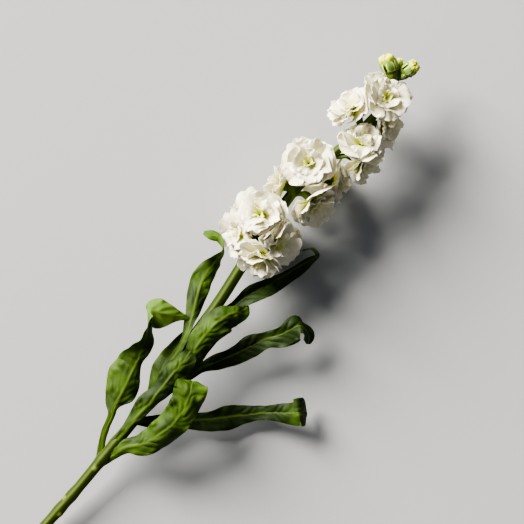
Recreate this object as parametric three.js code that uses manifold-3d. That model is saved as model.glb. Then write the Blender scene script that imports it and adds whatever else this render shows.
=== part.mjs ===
import * as THREE from 'three';
import { mergeVertices } from 'three/addons/utils/BufferGeometryUtils.js';
import ManifoldModule from 'manifold-3d';

// A cut stem of white double stock lying on its side on a flat surface, the plane Z = 0.
// Millimetres, +Z up, +X from the cut end to the buds. The leafy stem is one green body, and
// every double floret is one white body that sits in its own calyx cup with a small gap.

// ---- Driving dimensions ----------------------------------------------------------------

const CENTRE = [-2.9, -1.75]; // middle of the footprint, brought to the origin
const GAP = 0.3; // clearance between two separate bodies
const BLADE = 0.7; // thickness of leaves and petals
const CUT_SLOPE = 0.6; // slant of the cut end, length per width
const SLAB = [1000, 50]; // side and depth of the block that trims what lies below the surface
const WELD = 1e-5; // points nearer than this are one point

// The stem's axis: x, y, z, radius.
const STEM = [
  [-234, 28.5, 3.3, 3.5],
  [-192, 27, 6.5, 3.4],
  [-149, 24.5, 10, 3.4],
  [-120, 23, 13, 3.4],
  [-95, 22.5, 16, 3.6],
  [-54, 22, 20.5, 3.6],
  [-15, 24.5, 24, 3.7],
  [29, 26.3, 26.5, 3.8],
  [61, 29.5, 27, 3.7],
  [90, 31.2, 26.5, 3.5],
  [119, 33, 25.5, 3.3],
  [150, 28.5, 25, 2.9],
  [181, 23.5, 26, 2.6],
  [199, 23, 28, 2.2],
  [211, 26, 30, 1.6],
];
const STEM_SIDES = 10;
const STEM_RINGS = 30;
const STEM_RIDGE = 0.05; // how far the five ridges stand out, part of the radius
const NODES = [-136, -124, -93, -80, -52]; // swollen places on the stem, along X
const NODE_SWELL = 0.14;
const NODE_LENGTH = 4;

// Each leaf's midrib from stem to tip: x, y, z, width to the left and to the right of the midrib,
// roll of the whole blade and rise of both halves, in degrees. A roll of 180 turns the tip over.
const LEAVES = {
  left: [
    [-93, 25, 15, 2.2, 2.2, 0, 0],
    [-79, 32, 19, 2.2, 2.2, 0, 0],
    [-67, 35.5, 22, 2.4, 2.2, 0, 0],
    [-61, 37.5, 23.5, 8, 3, 0, -10],
    [-51, 39, 26, 13.5, 9.5, 0, -16],
    [-42, 41, 28.5, 15.5, 8, 0, -18],
    [-32, 43.5, 31, 13, 4, 0, -14],
    [-23, 46.5, 33.5, 8, 6, 25, 0],
    [-15, 49, 36, 6.5, 8, 55, 5],
    [-7.5, 52.5, 38, 8, 8, 75, 5],
    [0.5, 58, 41, 10.5, 10.5, 115, 5],
    [4, 51, 39, 10, 10, 165, 5],
    [9, 42, 34, 4, 4, 180, 0],
    [12, 36, 31, 1.2, 1.2, 180, 0],
  ],
  small: [
    [-47, 22, 20, 1.8, 1.8, 0, 0],
    [-36, 25, 24, 4, 4, 0, 0],
    [-28, 27, 26, 7, 6, 0, -14],
    [-19, 29, 27, 7, 6, 0, -14],
    [-10, 30, 27, 5, 5, 0, -8],
    [-2, 31, 26, 3, 3, 0, 0],
    [6, 31, 24, 1.2, 1.2, 0, 0],
  ],
  front: [
    [-86, 23, 17, 2.5, 2.5, 0, 0],
    [-73, 22, 23, 3, 3, 0, -4],
    [-61, 22, 27, 5, 3.5, 0, -10],
    [-48, 21, 31, 8, 4, 0, -12],
    [-36, 21, 34, 6, 6.5, 0, -14],
    [-26, 21, 36, 7.5, 9, 0, -14],
    [-14, 21, 37, 6.5, 9, 0, -12],
    [-6, 21, 35, 4, 6, 0, -4],
    [-1, 22, 31, 1.5, 1.5, 0, 0],
  ],
  middle: [
    [-30, 22, 22, 2.2, 2.2, 0, 0],
    [-20, 19, 27, 4, 4, 0, 0],
    [-9, 19, 31, 6, 8, 0, -8],
    [3, 20, 35, 8, 9, 0, -14],
    [16, 20, 38, 10, 10, 0, -18],
    [27, 18, 39, 8, 11, 0, -18],
    [34, 14, 36, 5, 9, 0, -14],
    [38, 11, 30, 3, 5, 0, 0],
    [42, 11, 24, 1.2, 1.2, 0, 0],
  ],
  upper_right: [
    [18, 26, 25, 2, 2, 0, 0],
    [33, 19, 24, 3, 3, 0, 30],
    [46, 15, 22, 5.5, 8, 0, 38],
    [54, 12, 20, 6, 9.5, 0, 38],
    [61, 9, 18, 5, 8.5, 0, 30],
    [70, 5, 17, 2.5, 6.5, 0, 10],
    [81, 1, 19, 2, 5.5, 0, 0],
    [89, -2, 23, 2.5, 3.5, 20, 0],
    [95, -4, 26, 2.2, 2.2, 60, 0],
    [96, 1, 26, 2, 2, 70, 0],
    [92, 5, 23, 1.2, 1.2, 70, 0],
  ],
  upper_left: [
    [-35, 23, 23, 2, 2, 0, 0],
    [-23, 26, 29, 2.5, 2.5, 0, 0],
    [-12, 27, 31, 3, 3, -25, 0],
    [0, 29, 31, 3, 3, -35, 0],
    [11, 33, 30, 4, 3, -20, 0],
    [21, 37, 29, 6, 5, 0, -12],
    [30, 41, 28, 8.5, 6.5, 0, -18],
    [40, 44, 27, 7.5, 6.5, 10, -16],
    [52, 45, 25, 4.5, 6, 35, 0],
    [60, 45, 23, 2.5, 3, 80, 0],
    [64, 51, 22, 3, 3, 140, 0],
    [63, 57, 22, 3.2, 3.2, 170, 0],
    [61, 62, 21, 1.2, 1.2, 180, 0],
  ],
  right: [
    [-34, 22, 22, 2, 2, 0, 0],
    [-21, 13, 19, 2, 2, 0, 0],
    [-8, 9, 16, 3, 3, 0, 5],
    [1, 4, 15, 5, 5.5, 0, 10],
    [12, -2, 15, 5, 7, 0, 12],
    [23, -7, 17, 7, 7.5, 0, 10],
    [33, -12, 19, 4.5, 6.5, 0, 8],
    [42, -18, 22, 5, 9, 0, 5],
    [51, -22, 24, 7.5, 9, -10, 0],
    [53, -26, 23, 5, 5, -50, 0],
    [51, -32, 19, 4.5, 4.5, -30, 0],
    [47, -35, 13, 1.5, 1.5, 0, 0],
  ],
  lowest: [
    [-62, 22, 18, 2, 2, 0, 0],
    [-52, 9, 12, 4.5, 4.5, 0, 0],
    [-42, -3, 9, 5, 5, 0, 5],
    [-32, -14, 7, 4.5, 8, 0, 8],
    [-22, -24, 6.5, 7.5, 8.5, 0, 8],
    [-14, -32, 6.5, 6, 5.5, 0, 5],
    [-6, -40, 8, 4.5, 4.5, 0, 5],
    [0, -47, 11, 5.5, 6, 0, 5],
    [6, -55, 15, 7, 8, 0, 0],
    [8.8, -57.4, 16.5, 9, 9.5, 0, 0],
    [11.4, -60, 11, 8, 8.5, 0, 0],
    [12.4, -61, 6, 3, 3, 0, 0],
  ],
  broad: [
    [-97, 22.5, 15, 3.2, 3.2, 0, 0],
    [-79, 16, 22, 5, 4, 0, -4],
    [-70, 9, 27, 7, 8, 0, -8],
    [-59, 4, 32, 9, 9, 0, -10],
    [-45, 1, 36, 10.5, 9.5, 0, -10],
    [-33, 2, 40, 10.5, 9.5, 0, -8],
    [-24, 5, 42, 11, 10.5, 0, -4],
    [-20, 7, 40, 10.5, 10.5, 0, 0],
    [-18, 8, 34, 8, 8, 0, 0],
  ],
};
const LEAF_ACROSS = 4; // strips across a leaf, two on each side of the midrib
const LEAF_ROWS = 1.1; // rows of strips per row of the tables
const LEAF_LEAST = 0.8; // least width of a half blade
const LEAF_PUFF = 0.03; // how far a half blade bulges, part of its width
const EDGE_WAVE = 0.9; // height of the waves along a leaf's edge
const EDGE_WAVES = 3.5; // waves from stem to tip
const EDGE_LAG = 2; // how far the right edge's waves lead the left edge's, in radians
const FULL_WAVE = 6; // width of a half blade from which its waves have their full height

// Each floret: middle, the way it faces, radius, and where its stalk leaves the stem, along X.
const FLORETS = [
  { at: [93, 42, 42], face: [0.18, 0.3, 0.94], size: 20, root: 80 },
  { at: [74, 45, 32], face: [-0.61, 0.61, 0.5], size: 17, root: 69 },
  { at: [68.2, 23.5, 40], face: [-0.84, -0.22, 0.5], size: 18, root: 64 },
  { at: [85, 19, 38], face: [0.1, -0.75, 0.66], size: 19, root: 74 },
  { at: [115.6, 45, 25], face: [-0.2, 0.95, -0.2], size: 16, root: 100 },
  { at: [138, 37, 42], face: [0.17, 0.2, 0.97], size: 19, root: 126 },
  { at: [118.2, 14.5, 33], face: [-0.25, -0.9, 0.35], size: 18.5, root: 106 },
  { at: [139, 13, 21], face: [0.27, -0.9, -0.3], size: 15.5, root: 126 },
  { at: [171, 18.2, 42], face: [0.6, 0.1, 0.79], size: 17, root: 149 },
  { at: [157, 6, 29], face: [-0.14, -0.88, 0.45], size: 16.5, root: 141 },
  { at: [183, 39, 36], face: [0.2, 0.78, 0.6], size: 17, root: 158 },
  { at: [202, 24, 43], face: [0.38, -0.15, 0.91], size: 18, root: 190 },
  { at: [187, 10.5, 28.5], face: [0.31, -0.9, 0.32], size: 16, root: 175 },
  { at: [82, 48, 10], face: [-0.1, 0.7, -0.7], size: 16, root: 74, rests: true },
  { at: [86, 17, 11], face: [0, -0.7, -0.7], size: 16, root: 80, rests: true },
  { at: [140, 30.5, 7.5], face: [0.1, 0.3, -0.95], size: 16, root: 128, rests: true },
];
const SEAT = 0.45; // from a floret's middle back to its calyx, part of the radius
const STALK_RADIUS = 1.1;
const CALYX_RADIUS = 2.6;
const CALYX_WALL = 0.75;
const CALYX_DEPTH = 3;
const FOOT_PLAY = 0.05; // extra play of a foot in its cup, over the clearance
const STALK_SWEEP = 0.6; // how far back from the cup a stalk bends, part of its reach
const STALK_SIDES = 5;
const STALK_STEPS = [1, 0.7, 0.4, 0]; // rings of a stalk, from the cup's mouth back to the stem
const STALK_TAPER = 0.8; // radius at the second ring, part of the cup's
const STALK_FOOT = 1.2; // radius at the stem, part of the stalk's

// Layers of petals from the outermost in. Each path runs in the plane of the floret's axis, as
// distance from the axis and height above the calyx, in parts of the radius. Fill is the share
// of the ring that the petals cover, twist lifts one edge of a petal over the next, and cuts
// are the strips along a petal and across it.
const LAYERS = [
  { petals: 5, path: [[0.2, 0.14], [0.6, 0.16], [1.02, 0.2]], fill: 1, twist: 0.1, cuts: [2, 2] },
  { petals: 4, path: [[0.2, 0.34], [0.5, 0.58], [0.86, 0.56]], fill: 1, twist: 0.1, cuts: [2, 2] },
  { petals: 3, path: [[0.12, 0.6], [0.24, 0.8], [0.5, 0.96]], fill: 0.9, twist: 0.06, cuts: [1, 2] },
];
const HEART = [[0.2, 0.05], [0.38, 0.22], [0.38, 0.5], [0.14, 0.76]];
const HEART_SIDES = 6;
const HEART_LUMPS = 0.12; // unevenness of the heart, part of its radius
const NECK_HEIGHT = 0.2; // height of the neck between calyx and petals, part of the radius
const PETAL_WAVE = 0.06; // height of the waves across a petal, part of the radius
const PETAL_WAVES = 1.2; // waves across half a petal
const PETAL_TIP = 0.8; // width at the tip, part of the widest
const PETAL_ROUND = 0.2; // how much shorter a petal is at its edges
const PETAL_LENGTHS = [0.94, 1.06];
const PETAL_TILT = 0.08; // spread of the petals' tilts, part of the radius
const PETAL_STRAY = 0.25; // spread of the petals' turns, in radians

// A floret gives way to its neighbours: past this part of the way to a wall it is pressed in.
const FREE = 0.82;
const REST_DEPTH = 5; // how far a floret that the stem lies on is pressed down past the surface

// The buds at the tip: mouth of the calyx, the way it faces, radius, length of petals, stalk root.
const BUDS = [
  { at: [216.5, 33.3, 35], face: [0.5, 0.8, 0.3], size: 5.1, length: 10, root: 205 },
  { at: [220.6, 30, 28.8], face: [0.87, 0.4, 0.2], size: 2, length: 6.5, root: 209 },
  { at: [222.6, 24.6, 33.4], face: [0.82, -0.25, 0.45], size: 4.2, length: 8.5, root: 207 },
];
const BUD_SIDES = 8;
const BUD_FOLDS = 4; // folds round a bud
const BUD_FOLD = 0.12; // how far they stand out, part of the radius
const BUD_LEAN = 3; // how far they wind round over the bud's length, in radians

// A bud's radius, part of its size, at heights that are parts of its length.
const BUD_PROFILE = [[0.95, 0.15], [1, 0.4], [0.8, 0.7], [0.35, 0.95]];

const LEAF_GREEN = { color: 0x4c6b14, roughness: 0.55, metalness: 0 };
const PETAL_WHITE = { color: 0xf5f3e6, roughness: 0.65, metalness: 0 };
const BUD_CREAM = { color: 0xdfe3a4, roughness: 0.6, metalness: 0 };

// ---- Solids ----------------------------------------------------------------------------

const { Manifold, Mesh: SolidMesh } = await loadManifold();

async function loadManifold() {
  const module = await ManifoldModule();
  module.setup();
  return module;
}

// A closed geometry as a solid.
function solidOf(geometry) {
  const merged = mergeVertices(geometry, WELD);
  return new Manifold(new SolidMesh({
    numProp: 3,
    vertProperties: Float32Array.from(merged.attributes.position.array),
    triVerts: Uint32Array.from(merged.index.array),
  }));
}

function geometryOf(solid) {
  const mesh = solid.getMesh();
  const geometry = new THREE.BufferGeometry();
  geometry.setAttribute('position', new THREE.BufferAttribute(mesh.vertProperties, 3));
  geometry.setIndex(new THREE.BufferAttribute(mesh.triVerts, 1));
  geometry.computeVertexNormals();
  return geometry;
}

function union(solids) {
  return solids.reduce((whole, solid) => whole.add(solid));
}

function geometryFrom(points, triangles) {
  const geometry = new THREE.BufferGeometry();
  const flat = points.flatMap((p) => [p.x, p.y, p.z]);
  geometry.setAttribute('position', new THREE.Float32BufferAttribute(flat, 3));
  geometry.setIndex(triangles);
  return geometry;
}

// A closed skin over rings of equally many points, each turning right-handed about the way along.
function loft(rings) {
  const sides = rings[0].length;
  const points = rings.flat();
  const last = rings.length - 1;
  const start = points.push(middleOf(rings[0])) - 1;
  const end = points.push(middleOf(rings[last])) - 1;
  const triangles = [];
  for (let k = 0; k < sides; k += 1) {
    const next = (k + 1) % sides;
    for (let ring = 0; ring < last; ring += 1) {
      const a = ring * sides + k;
      const b = ring * sides + next;
      triangles.push(a, b, b + sides, a, b + sides, a + sides);
    }
    triangles.push(start, next, k);
    triangles.push(end, last * sides + k, last * sides + next);
  }
  return solidOf(geometryFrom(points, triangles));
}

function middleOf(points) {
  const sum = points.reduce((total, p) => total.add(p), new THREE.Vector3());
  return sum.divideScalar(points.length);
}

// A sheet given as rows of points, made `thickness` thick, both faces split into triangles alike.
function blade(rows, thickness) {
  const along = rows.length - 1;
  const across = rows[0].length - 1;
  const normals = rows.map((row, j) => row.map((_, k) => {
    const down = rows[Math.min(j + 1, along)][k].clone().sub(rows[Math.max(j - 1, 0)][k]);
    const side = row[Math.min(k + 1, across)].clone().sub(row[Math.max(k - 1, 0)]);
    return side.cross(down).normalize().multiplyScalar(thickness / 2);
  }));
  const top = rows.flatMap((row, j) => row.map((p, k) => p.clone().add(normals[j][k])));
  const under = rows.flatMap((row, j) => row.map((p, k) => p.clone().sub(normals[j][k])));
  const count = top.length;
  const at = (j, k) => j * (across + 1) + k;
  const triangles = [];
  for (let j = 0; j < along; j += 1) {
    for (let k = 0; k < across; k += 1) {
      const [a, b, c, d] = [at(j, k), at(j, k + 1), at(j + 1, k + 1), at(j + 1, k)];
      const split = (j + k) % 2 ? [a, b, c, a, c, d] : [a, b, d, b, c, d];
      triangles.push(...split);
      triangles.push(...split.map((i) => i + count).reverse());
    }
  }
  const rim = [];
  for (let k = 0; k < across; k += 1) rim.push(at(0, k));
  for (let j = 0; j < along; j += 1) rim.push(at(j, across));
  for (let k = across; k > 0; k -= 1) rim.push(at(along, k));
  for (let j = along; j > 0; j -= 1) rim.push(at(j, 0));
  rim.forEach((a, i) => {
    const b = rim[(i + 1) % rim.length];
    triangles.push(a, a + count, b + count, a, b + count, b);
  });
  return solidOf(geometryFrom([...top, ...under], triangles));
}

// ---- Curves ----------------------------------------------------------------------------

// A smooth curve through rows of numbers, each column alike, at t from 0 to 1 (Catmull-Rom).
function through(rows, t) {
  const last = rows.length - 1;
  const i = Math.min(Math.floor(t * last), last - 1);
  const f = t * last - i;
  const before = i > 0 ? rows[i - 1] : rows[0].map((v, c) => 2 * v - rows[1][c]);
  const after = i < last - 1 ? rows[i + 2] : rows[last].map((v, c) => 2 * v - rows[last - 1][c]);
  return rows[i].map((p1, c) => {
    const [p0, p2, p3] = [before[c], rows[i + 1][c], after[c]];
    const square = 2 * p0 - 5 * p1 + 4 * p2 - p3;
    const cube = 3 * p1 - p0 - 3 * p2 + p3;
    return 0.5 * (2 * p1 + (p2 - p0) * f + square * f * f + cube * f ** 3);
  });
}

const vector = (numbers) => new THREE.Vector3(numbers[0], numbers[1], numbers[2]);

function tangentOf(rows, t) {
  const step = 1e-3;
  const ahead = vector(through(rows, Math.min(t + step, 1)));
  return ahead.sub(vector(through(rows, Math.max(t - step, 0)))).normalize();
}

// The stem's row at a place along X, found by halving.
function stemAt(x) {
  let [low, high] = [0, 1];
  for (let step = 0; step < 30; step += 1) {
    const t = (low + high) / 2;
    if (through(STEM, t)[0] < x) low = t;
    else high = t;
  }
  return through(STEM, low);
}

// Two directions square to an axis and to each other, right-handed with it.
function crossOf(axis) {
  const helper = Math.abs(axis.z) < 0.9 ? new THREE.Vector3(0, 0, 1) : new THREE.Vector3(1, 0, 0);
  const side = helper.cross(axis).normalize();
  return [side, axis.clone().cross(side)];
}

function ringAt(centre, [side, rise], radiusAt, sides) {
  return Array.from({ length: sides }, (_, k) => {
    const angle = (2 * Math.PI * k) / sides;
    const radius = radiusAt(angle);
    return centre.clone()
      .addScaledVector(side, radius * Math.cos(angle))
      .addScaledVector(rise, radius * Math.sin(angle));
  });
}

// ---- Stem, stalks and leaves -----------------------------------------------------------

function stemSolid(extra = 0) {
  const rings = Array.from({ length: STEM_RINGS + 1 }, (_, j) => {
    const t = j / STEM_RINGS;
    const row = through(STEM, t);
    const axis = tangentOf(STEM, t);
    const cross = crossOf(axis);
    const swell = NODES.reduce((sum, x) => sum + Math.exp(-(((row[0] - x) / NODE_LENGTH) ** 2)), 0);
    const radius = row[3] * (1 + NODE_SWELL * swell) + extra;
    const ridged = (angle) => radius * (1 + STEM_RIDGE * Math.cos(5 * angle));
    const ring = ringAt(vector(row), cross, ridged, STEM_SIDES);
    if (j > 0) return ring;
    return ring.map((p) => p.addScaledVector(axis, CUT_SLOPE * (vector(row).z - p.z)));
  });
  return loft(rings);
}

// A flower stalk that bends away from the stem and widens into a cup with a round hole in it.
function stalkSolid({ at, face, root }, cupRadius, sides, extra = 0) {
  const axis = vector(face).normalize();
  const start = vector(stemAt(root));
  const reach = start.distanceTo(at);
  const bend = at.clone().addScaledVector(axis, -STALK_SWEEP * reach);
  const curve = new THREE.QuadraticBezierCurve3(start, bend, at);
  const radii = [cupRadius, STALK_TAPER * cupRadius, STALK_RADIUS, STALK_FOOT * STALK_RADIUS];
  let previous = axis;
  let [side, rise] = crossOf(axis);
  const rings = STALK_STEPS.map((t, i) => {
    const tangent = curve.getTangent(t);
    const turn = new THREE.Quaternion().setFromUnitVectors(previous, tangent);
    side = side.clone().applyQuaternion(turn);
    rise = rise.clone().applyQuaternion(turn);
    previous = tangent;
    return ringAt(curve.getPoint(t), [side, rise], () => radii[i] + extra, sides);
  }).reverse();
  if (extra === 0) {
    const hole = cupRadius - CALYX_WALL;
    const bottom = at.clone().addScaledVector(axis, -CALYX_DEPTH);
    rings.push(ringAt(at, crossOf(axis), () => hole, sides));
    rings.push(ringAt(bottom, crossOf(axis), () => hole, sides));
  }
  return loft(rings);
}

// A leaf as rows of points from its stem end to its tip, each row from the right edge to the left.
function leafRows(stations) {
  const along = Math.round(stations.length * LEAF_ROWS);
  return Array.from({ length: along + 1 }, (_, j) => {
    const t = j / along;
    const [x, y, z, left, right, roll, rise] = through(stations, t);
    const axis = tangentOf(stations, t);
    const sideways = new THREE.Vector3(-axis.y, axis.x, 0).normalize();
    const up = axis.clone().cross(sideways);
    return Array.from({ length: LEAF_ACROSS + 1 }, (__, k) => {
      const across = (2 * k) / LEAF_ACROSS - 1;
      const share = Math.abs(across);
      const onLeft = across > 0;
      const width = Math.max(onLeft ? left : right, LEAF_LEAST);
      const tilt = THREE.MathUtils.degToRad(onLeft ? rise + roll : rise - roll);
      const outward = sideways.clone().multiplyScalar((onLeft ? 1 : -1) * Math.cos(tilt));
      outward.addScaledVector(up, Math.sin(tilt));
      const puffed = sideways.clone().multiplyScalar((onLeft ? -1 : 1) * Math.sin(tilt));
      puffed.addScaledVector(up, Math.cos(tilt));
      const bulge = LEAF_PUFF * width * 4 * share * (1 - share);
      const phase = 2 * Math.PI * EDGE_WAVES * t + (onLeft ? 0 : EDGE_LAG);
      const wave = EDGE_WAVE * share * share * Math.min(1, width / FULL_WAVE) * Math.sin(phase);
      return new THREE.Vector3(x, y, z)
        .addScaledVector(outward, width * share)
        .addScaledVector(puffed, bulge + wave);
    });
  });
}

// ---- Florets ---------------------------------------------------------------------------

// Seeded random numbers from 0 to 1.
function randomFrom(seed) {
  let state = seed;
  return () => {
    state = (state * 1664525 + 1013904223) % 4294967296;
    return state / 4294967296;
  };
}

// The flat walls that a floret gives way to: its neighbours, the stem, its calyx and the surface.
function wallsOf(floret) {
  const middle = vector(floret.at);
  const half = BLADE / 2;
  const walls = [...FLORETS, ...BUDS].filter((other) => other !== floret).map((other) => {
    const way = vector(other.at).sub(middle);
    const share = floret.size / (floret.size + other.size);
    return { normal: way.clone().normalize(), reach: way.length() * share - GAP / 2 - half };
  });
  const stem = stemAt(floret.at[0]);
  const toStem = vector(stem).sub(middle);
  const stemReach = toStem.length() - stem[3] * (1 + STEM_RIDGE) - GAP - half;
  walls.push({ normal: toStem.normalize(), reach: stemReach });
  const back = vector(floret.face).normalize().negate();
  walls.push({ normal: back, reach: SEAT * floret.size - GAP - half });
  const below = floret.rests ? middle.z + REST_DEPTH : middle.z - 2 * GAP - half;
  walls.push({ normal: new THREE.Vector3(0, 0, -1), reach: below });
  return walls;
}

// A point pressed in so that it stays on the floret's side of each wall.
function settle(point, middle, walls) {
  const offset = point.clone().sub(middle);
  for (const { normal, reach } of walls) {
    const depth = offset.dot(normal);
    const free = FREE * reach;
    if (depth > free) {
      const soft = reach - free;
      const pressed = free + soft * (1 - Math.exp(-(depth - free) / soft));
      offset.addScaledVector(normal, pressed - depth);
    }
  }
  return offset.add(middle);
}

// One petal as rows of points from its root to its tip.
function petalRows(layer, turn, place, random) {
  const [root, bend, tip] = layer.path.map(([r, h]) => new THREE.Vector2(r, h));
  const path = new THREE.QuadraticBezierCurve(root, bend, tip);
  const phase = 2 * Math.PI * random();
  const length = THREE.MathUtils.lerp(...PETAL_LENGTHS, random());
  const tilt = PETAL_TILT * (random() - 0.5);
  const [along, sideways] = layer.cuts;
  return Array.from({ length: along + 1 }, (_, j) => {
    const t = j / along;
    const spine = path.getPoint(t);
    const width = layer.fill * Math.sin(Math.PI / layer.petals) * spine.x * (t === 1 ? PETAL_TIP : 1);
    return Array.from({ length: sideways + 1 }, (__, k) => {
      const across = (2 * k) / sideways - 1;
      const wave = PETAL_WAVE * t * Math.sin(2 * Math.PI * PETAL_WAVES * across + phase);
      const out = spine.x * (length - PETAL_ROUND * t * t * across * across);
      const height = spine.y + (tilt + layer.twist * across) * t + wave;
      return place(out, across * width, height, turn);
    });
  });
}

function floretSolid(floret, seed) {
  const random = randomFrom(seed);
  const middle = vector(floret.at);
  const axis = vector(floret.face).normalize();
  const seat = middle.clone().addScaledVector(axis, -SEAT * floret.size);
  const cross = crossOf(axis);
  const walls = wallsOf(floret);
  // Distance out, sideways and up, in parts of the radius, turned about the axis.
  const place = (out, aside, height, turn) => {
    const outward = cross[0].clone().multiplyScalar(Math.cos(turn));
    outward.addScaledVector(cross[1], Math.sin(turn));
    const point = seat.clone()
      .addScaledVector(outward, out * floret.size)
      .addScaledVector(axis.clone().cross(outward), aside * floret.size)
      .addScaledVector(axis, height * floret.size);
    return settle(point, middle, walls);
  };
  const neck = [-CALYX_DEPTH + GAP, NECK_HEIGHT * floret.size].map((height) => {
    const centre = seat.clone().addScaledVector(axis, height);
    return ringAt(centre, cross, () => CALYX_RADIUS - CALYX_WALL - GAP - FOOT_PLAY, STALK_SIDES);
  });
  const heart = HEART.map(([radius, height]) => Array.from({ length: HEART_SIDES }, (_, k) => {
    const lump = 1 + HEART_LUMPS * (random() - 0.5);
    return place(radius * lump, 0, height, (2 * Math.PI * k) / HEART_SIDES);
  }));
  const pieces = [loft(heart), loft(neck)];
  const layers = floret.rests ? LAYERS.slice(0, 2) : LAYERS;
  layers.forEach((layer, level) => {
    for (let k = 0; k < layer.petals; k += 1) {
      const stray = PETAL_STRAY * (random() - 0.5);
      const turn = (2 * Math.PI * (k + 0.5 * level)) / layer.petals + stray;
      pieces.push(blade(petalRows(layer, turn, place, random), BLADE));
    }
  });
  return union(pieces);
}

// ---- Buds ------------------------------------------------------------------------------

// The folded petals of a bud: a twisted egg whose foot stands in the calyx.
function budSolid({ at, face, size, length }) {
  const axis = vector(face).normalize();
  const cross = crossOf(axis);
  const mouth = vector(at);
  const foot = size - CALYX_WALL - GAP - FOOT_PLAY;
  const rings = [
    ringAt(mouth.clone().addScaledVector(axis, GAP - CALYX_DEPTH), cross, () => foot, BUD_SIDES),
    ringAt(mouth.clone().addScaledVector(axis, GAP), cross, () => foot, BUD_SIDES),
  ];
  BUD_PROFILE.forEach(([radius, height]) => {
    const fold = (angle) => BUD_FOLD * Math.cos(BUD_FOLDS * angle + BUD_LEAN * height);
    const folded = (angle) => size * radius * (1 + fold(angle));
    const centre = mouth.clone().addScaledVector(axis, GAP + height * length);
    rings.push(ringAt(centre, cross, folded, BUD_SIDES));
  });
  return loft(rings);
}

// ---- The whole stem --------------------------------------------------------------------

function mesh(name, solid, finish) {
  const piece = new THREE.Mesh(geometryOf(solid), new THREE.MeshStandardMaterial(finish));
  piece.name = name;
  piece.position.set(-CENTRE[0], -CENTRE[1], 0);
  return piece;
}

function build() {
  const group = new THREE.Group();
  const [side, depth] = SLAB;
  const slab = new THREE.BoxGeometry(side, side, depth).translate(0, 0, -depth / 2);
  const ground = solidOf(slab.deleteAttribute('uv').deleteAttribute('normal'));
  const seats = FLORETS.map((floret) => ({
    ...floret,
    at: vector(floret.at).addScaledVector(vector(floret.face).normalize(), -SEAT * floret.size),
  }));
  const budSeats = BUDS.map((bud) => ({ ...bud, at: vector(bud.at) }));
  const leaves = Object.values(LEAVES).map(leafRows);

  const green = [
    stemSolid(),
    ...seats.map((seat) => stalkSolid(seat, CALYX_RADIUS, STALK_SIDES)),
    ...budSeats.map((seat) => stalkSolid(seat, seat.size, BUD_SIDES)),
    ...leaves.map((rows) => blade(rows, BLADE)),
  ];
  const leafyStem = union(green).subtract(ground);
  group.add(mesh('leafy_stem', leafyStem, LEAF_GREEN));

  const keepClear = [
    stemSolid(GAP),
    ...leaves.map((rows) => blade(rows, BLADE + 2 * GAP)),
    ...budSeats.map((seat) => stalkSolid(seat, seat.size, BUD_SIDES, GAP)),
  ];
  const stalkRoom = seats.map((seat) => stalkSolid(seat, CALYX_RADIUS, STALK_SIDES, GAP));
  FLORETS.forEach((floret, i) => {
    const others = stalkRoom.filter((_, k) => k !== i);
    const rooms = [...keepClear, ...others];
    const cleared = rooms.reduce((left, room) => left.subtract(room), floretSolid(floret, i + 1));
    const name = `floret_${String(i + 1).padStart(2, '0')}`;
    group.add(mesh(name, floret.rests ? cleared.subtract(ground) : cleared, PETAL_WHITE));
  });
  BUDS.forEach((bud, i) => {
    group.add(mesh(`bud_petals_0${i + 1}`, budSolid(bud), BUD_CREAM));
  });
  return group;
}

export default build();
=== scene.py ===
"""Looks of a cut stem of white double stock that lies on its side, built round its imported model.

Sizes are in millimetres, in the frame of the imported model, and turn into metres when a mesh is made.
"""

import logging
import math
from dataclasses import dataclass, field
from enum import Enum

import bpy
import numpy as np
from mathutils import Matrix


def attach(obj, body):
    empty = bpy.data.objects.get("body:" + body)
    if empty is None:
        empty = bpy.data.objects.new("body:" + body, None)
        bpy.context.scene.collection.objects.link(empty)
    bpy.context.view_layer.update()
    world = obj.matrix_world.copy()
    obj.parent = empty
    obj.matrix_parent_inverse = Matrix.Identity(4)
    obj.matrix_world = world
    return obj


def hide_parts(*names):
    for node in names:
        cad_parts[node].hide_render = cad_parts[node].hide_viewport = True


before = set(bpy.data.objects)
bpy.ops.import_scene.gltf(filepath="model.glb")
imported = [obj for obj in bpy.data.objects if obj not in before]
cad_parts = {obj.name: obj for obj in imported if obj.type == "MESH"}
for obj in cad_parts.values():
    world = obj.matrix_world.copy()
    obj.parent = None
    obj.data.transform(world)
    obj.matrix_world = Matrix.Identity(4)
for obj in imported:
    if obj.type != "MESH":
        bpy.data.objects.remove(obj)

Array = np.ndarray
Node = bpy.types.Node
Socket = bpy.types.NodeSocket
Wall = tuple[Array, float]

LOG = logging.getLogger("stock_flower")
MM = 0.001
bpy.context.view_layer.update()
BODY = "root"
GREEN_NODE = "leafy_stem"

# The solids' own sizes: middle of the footprint, clearance between bodies and thickness of blades.
CENTRE = np.array((-2.9, -1.75, 0.0))
GAP = 0.3
BLADE = 0.7

# The stem's axis: x, y, z, radius.
STEM_LINE = np.array((
    (-234, 28.5, 3.3, 3.5),
    (-192, 27, 6.5, 3.4),
    (-149, 24.5, 10, 3.4),
    (-120, 23, 13, 3.4),
    (-95, 22.5, 16, 3.6),
    (-54, 22, 20.5, 3.6),
    (-15, 24.5, 24, 3.7),
    (29, 26.3, 26.5, 3.8),
    (61, 29.5, 27, 3.7),
    (90, 31.2, 26.5, 3.5),
    (119, 33, 25.5, 3.3),
    (150, 28.5, 25, 2.9),
    (181, 23.5, 26, 2.6),
    (199, 23, 28, 2.2),
    (211, 26, 30, 1.6),
))

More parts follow.
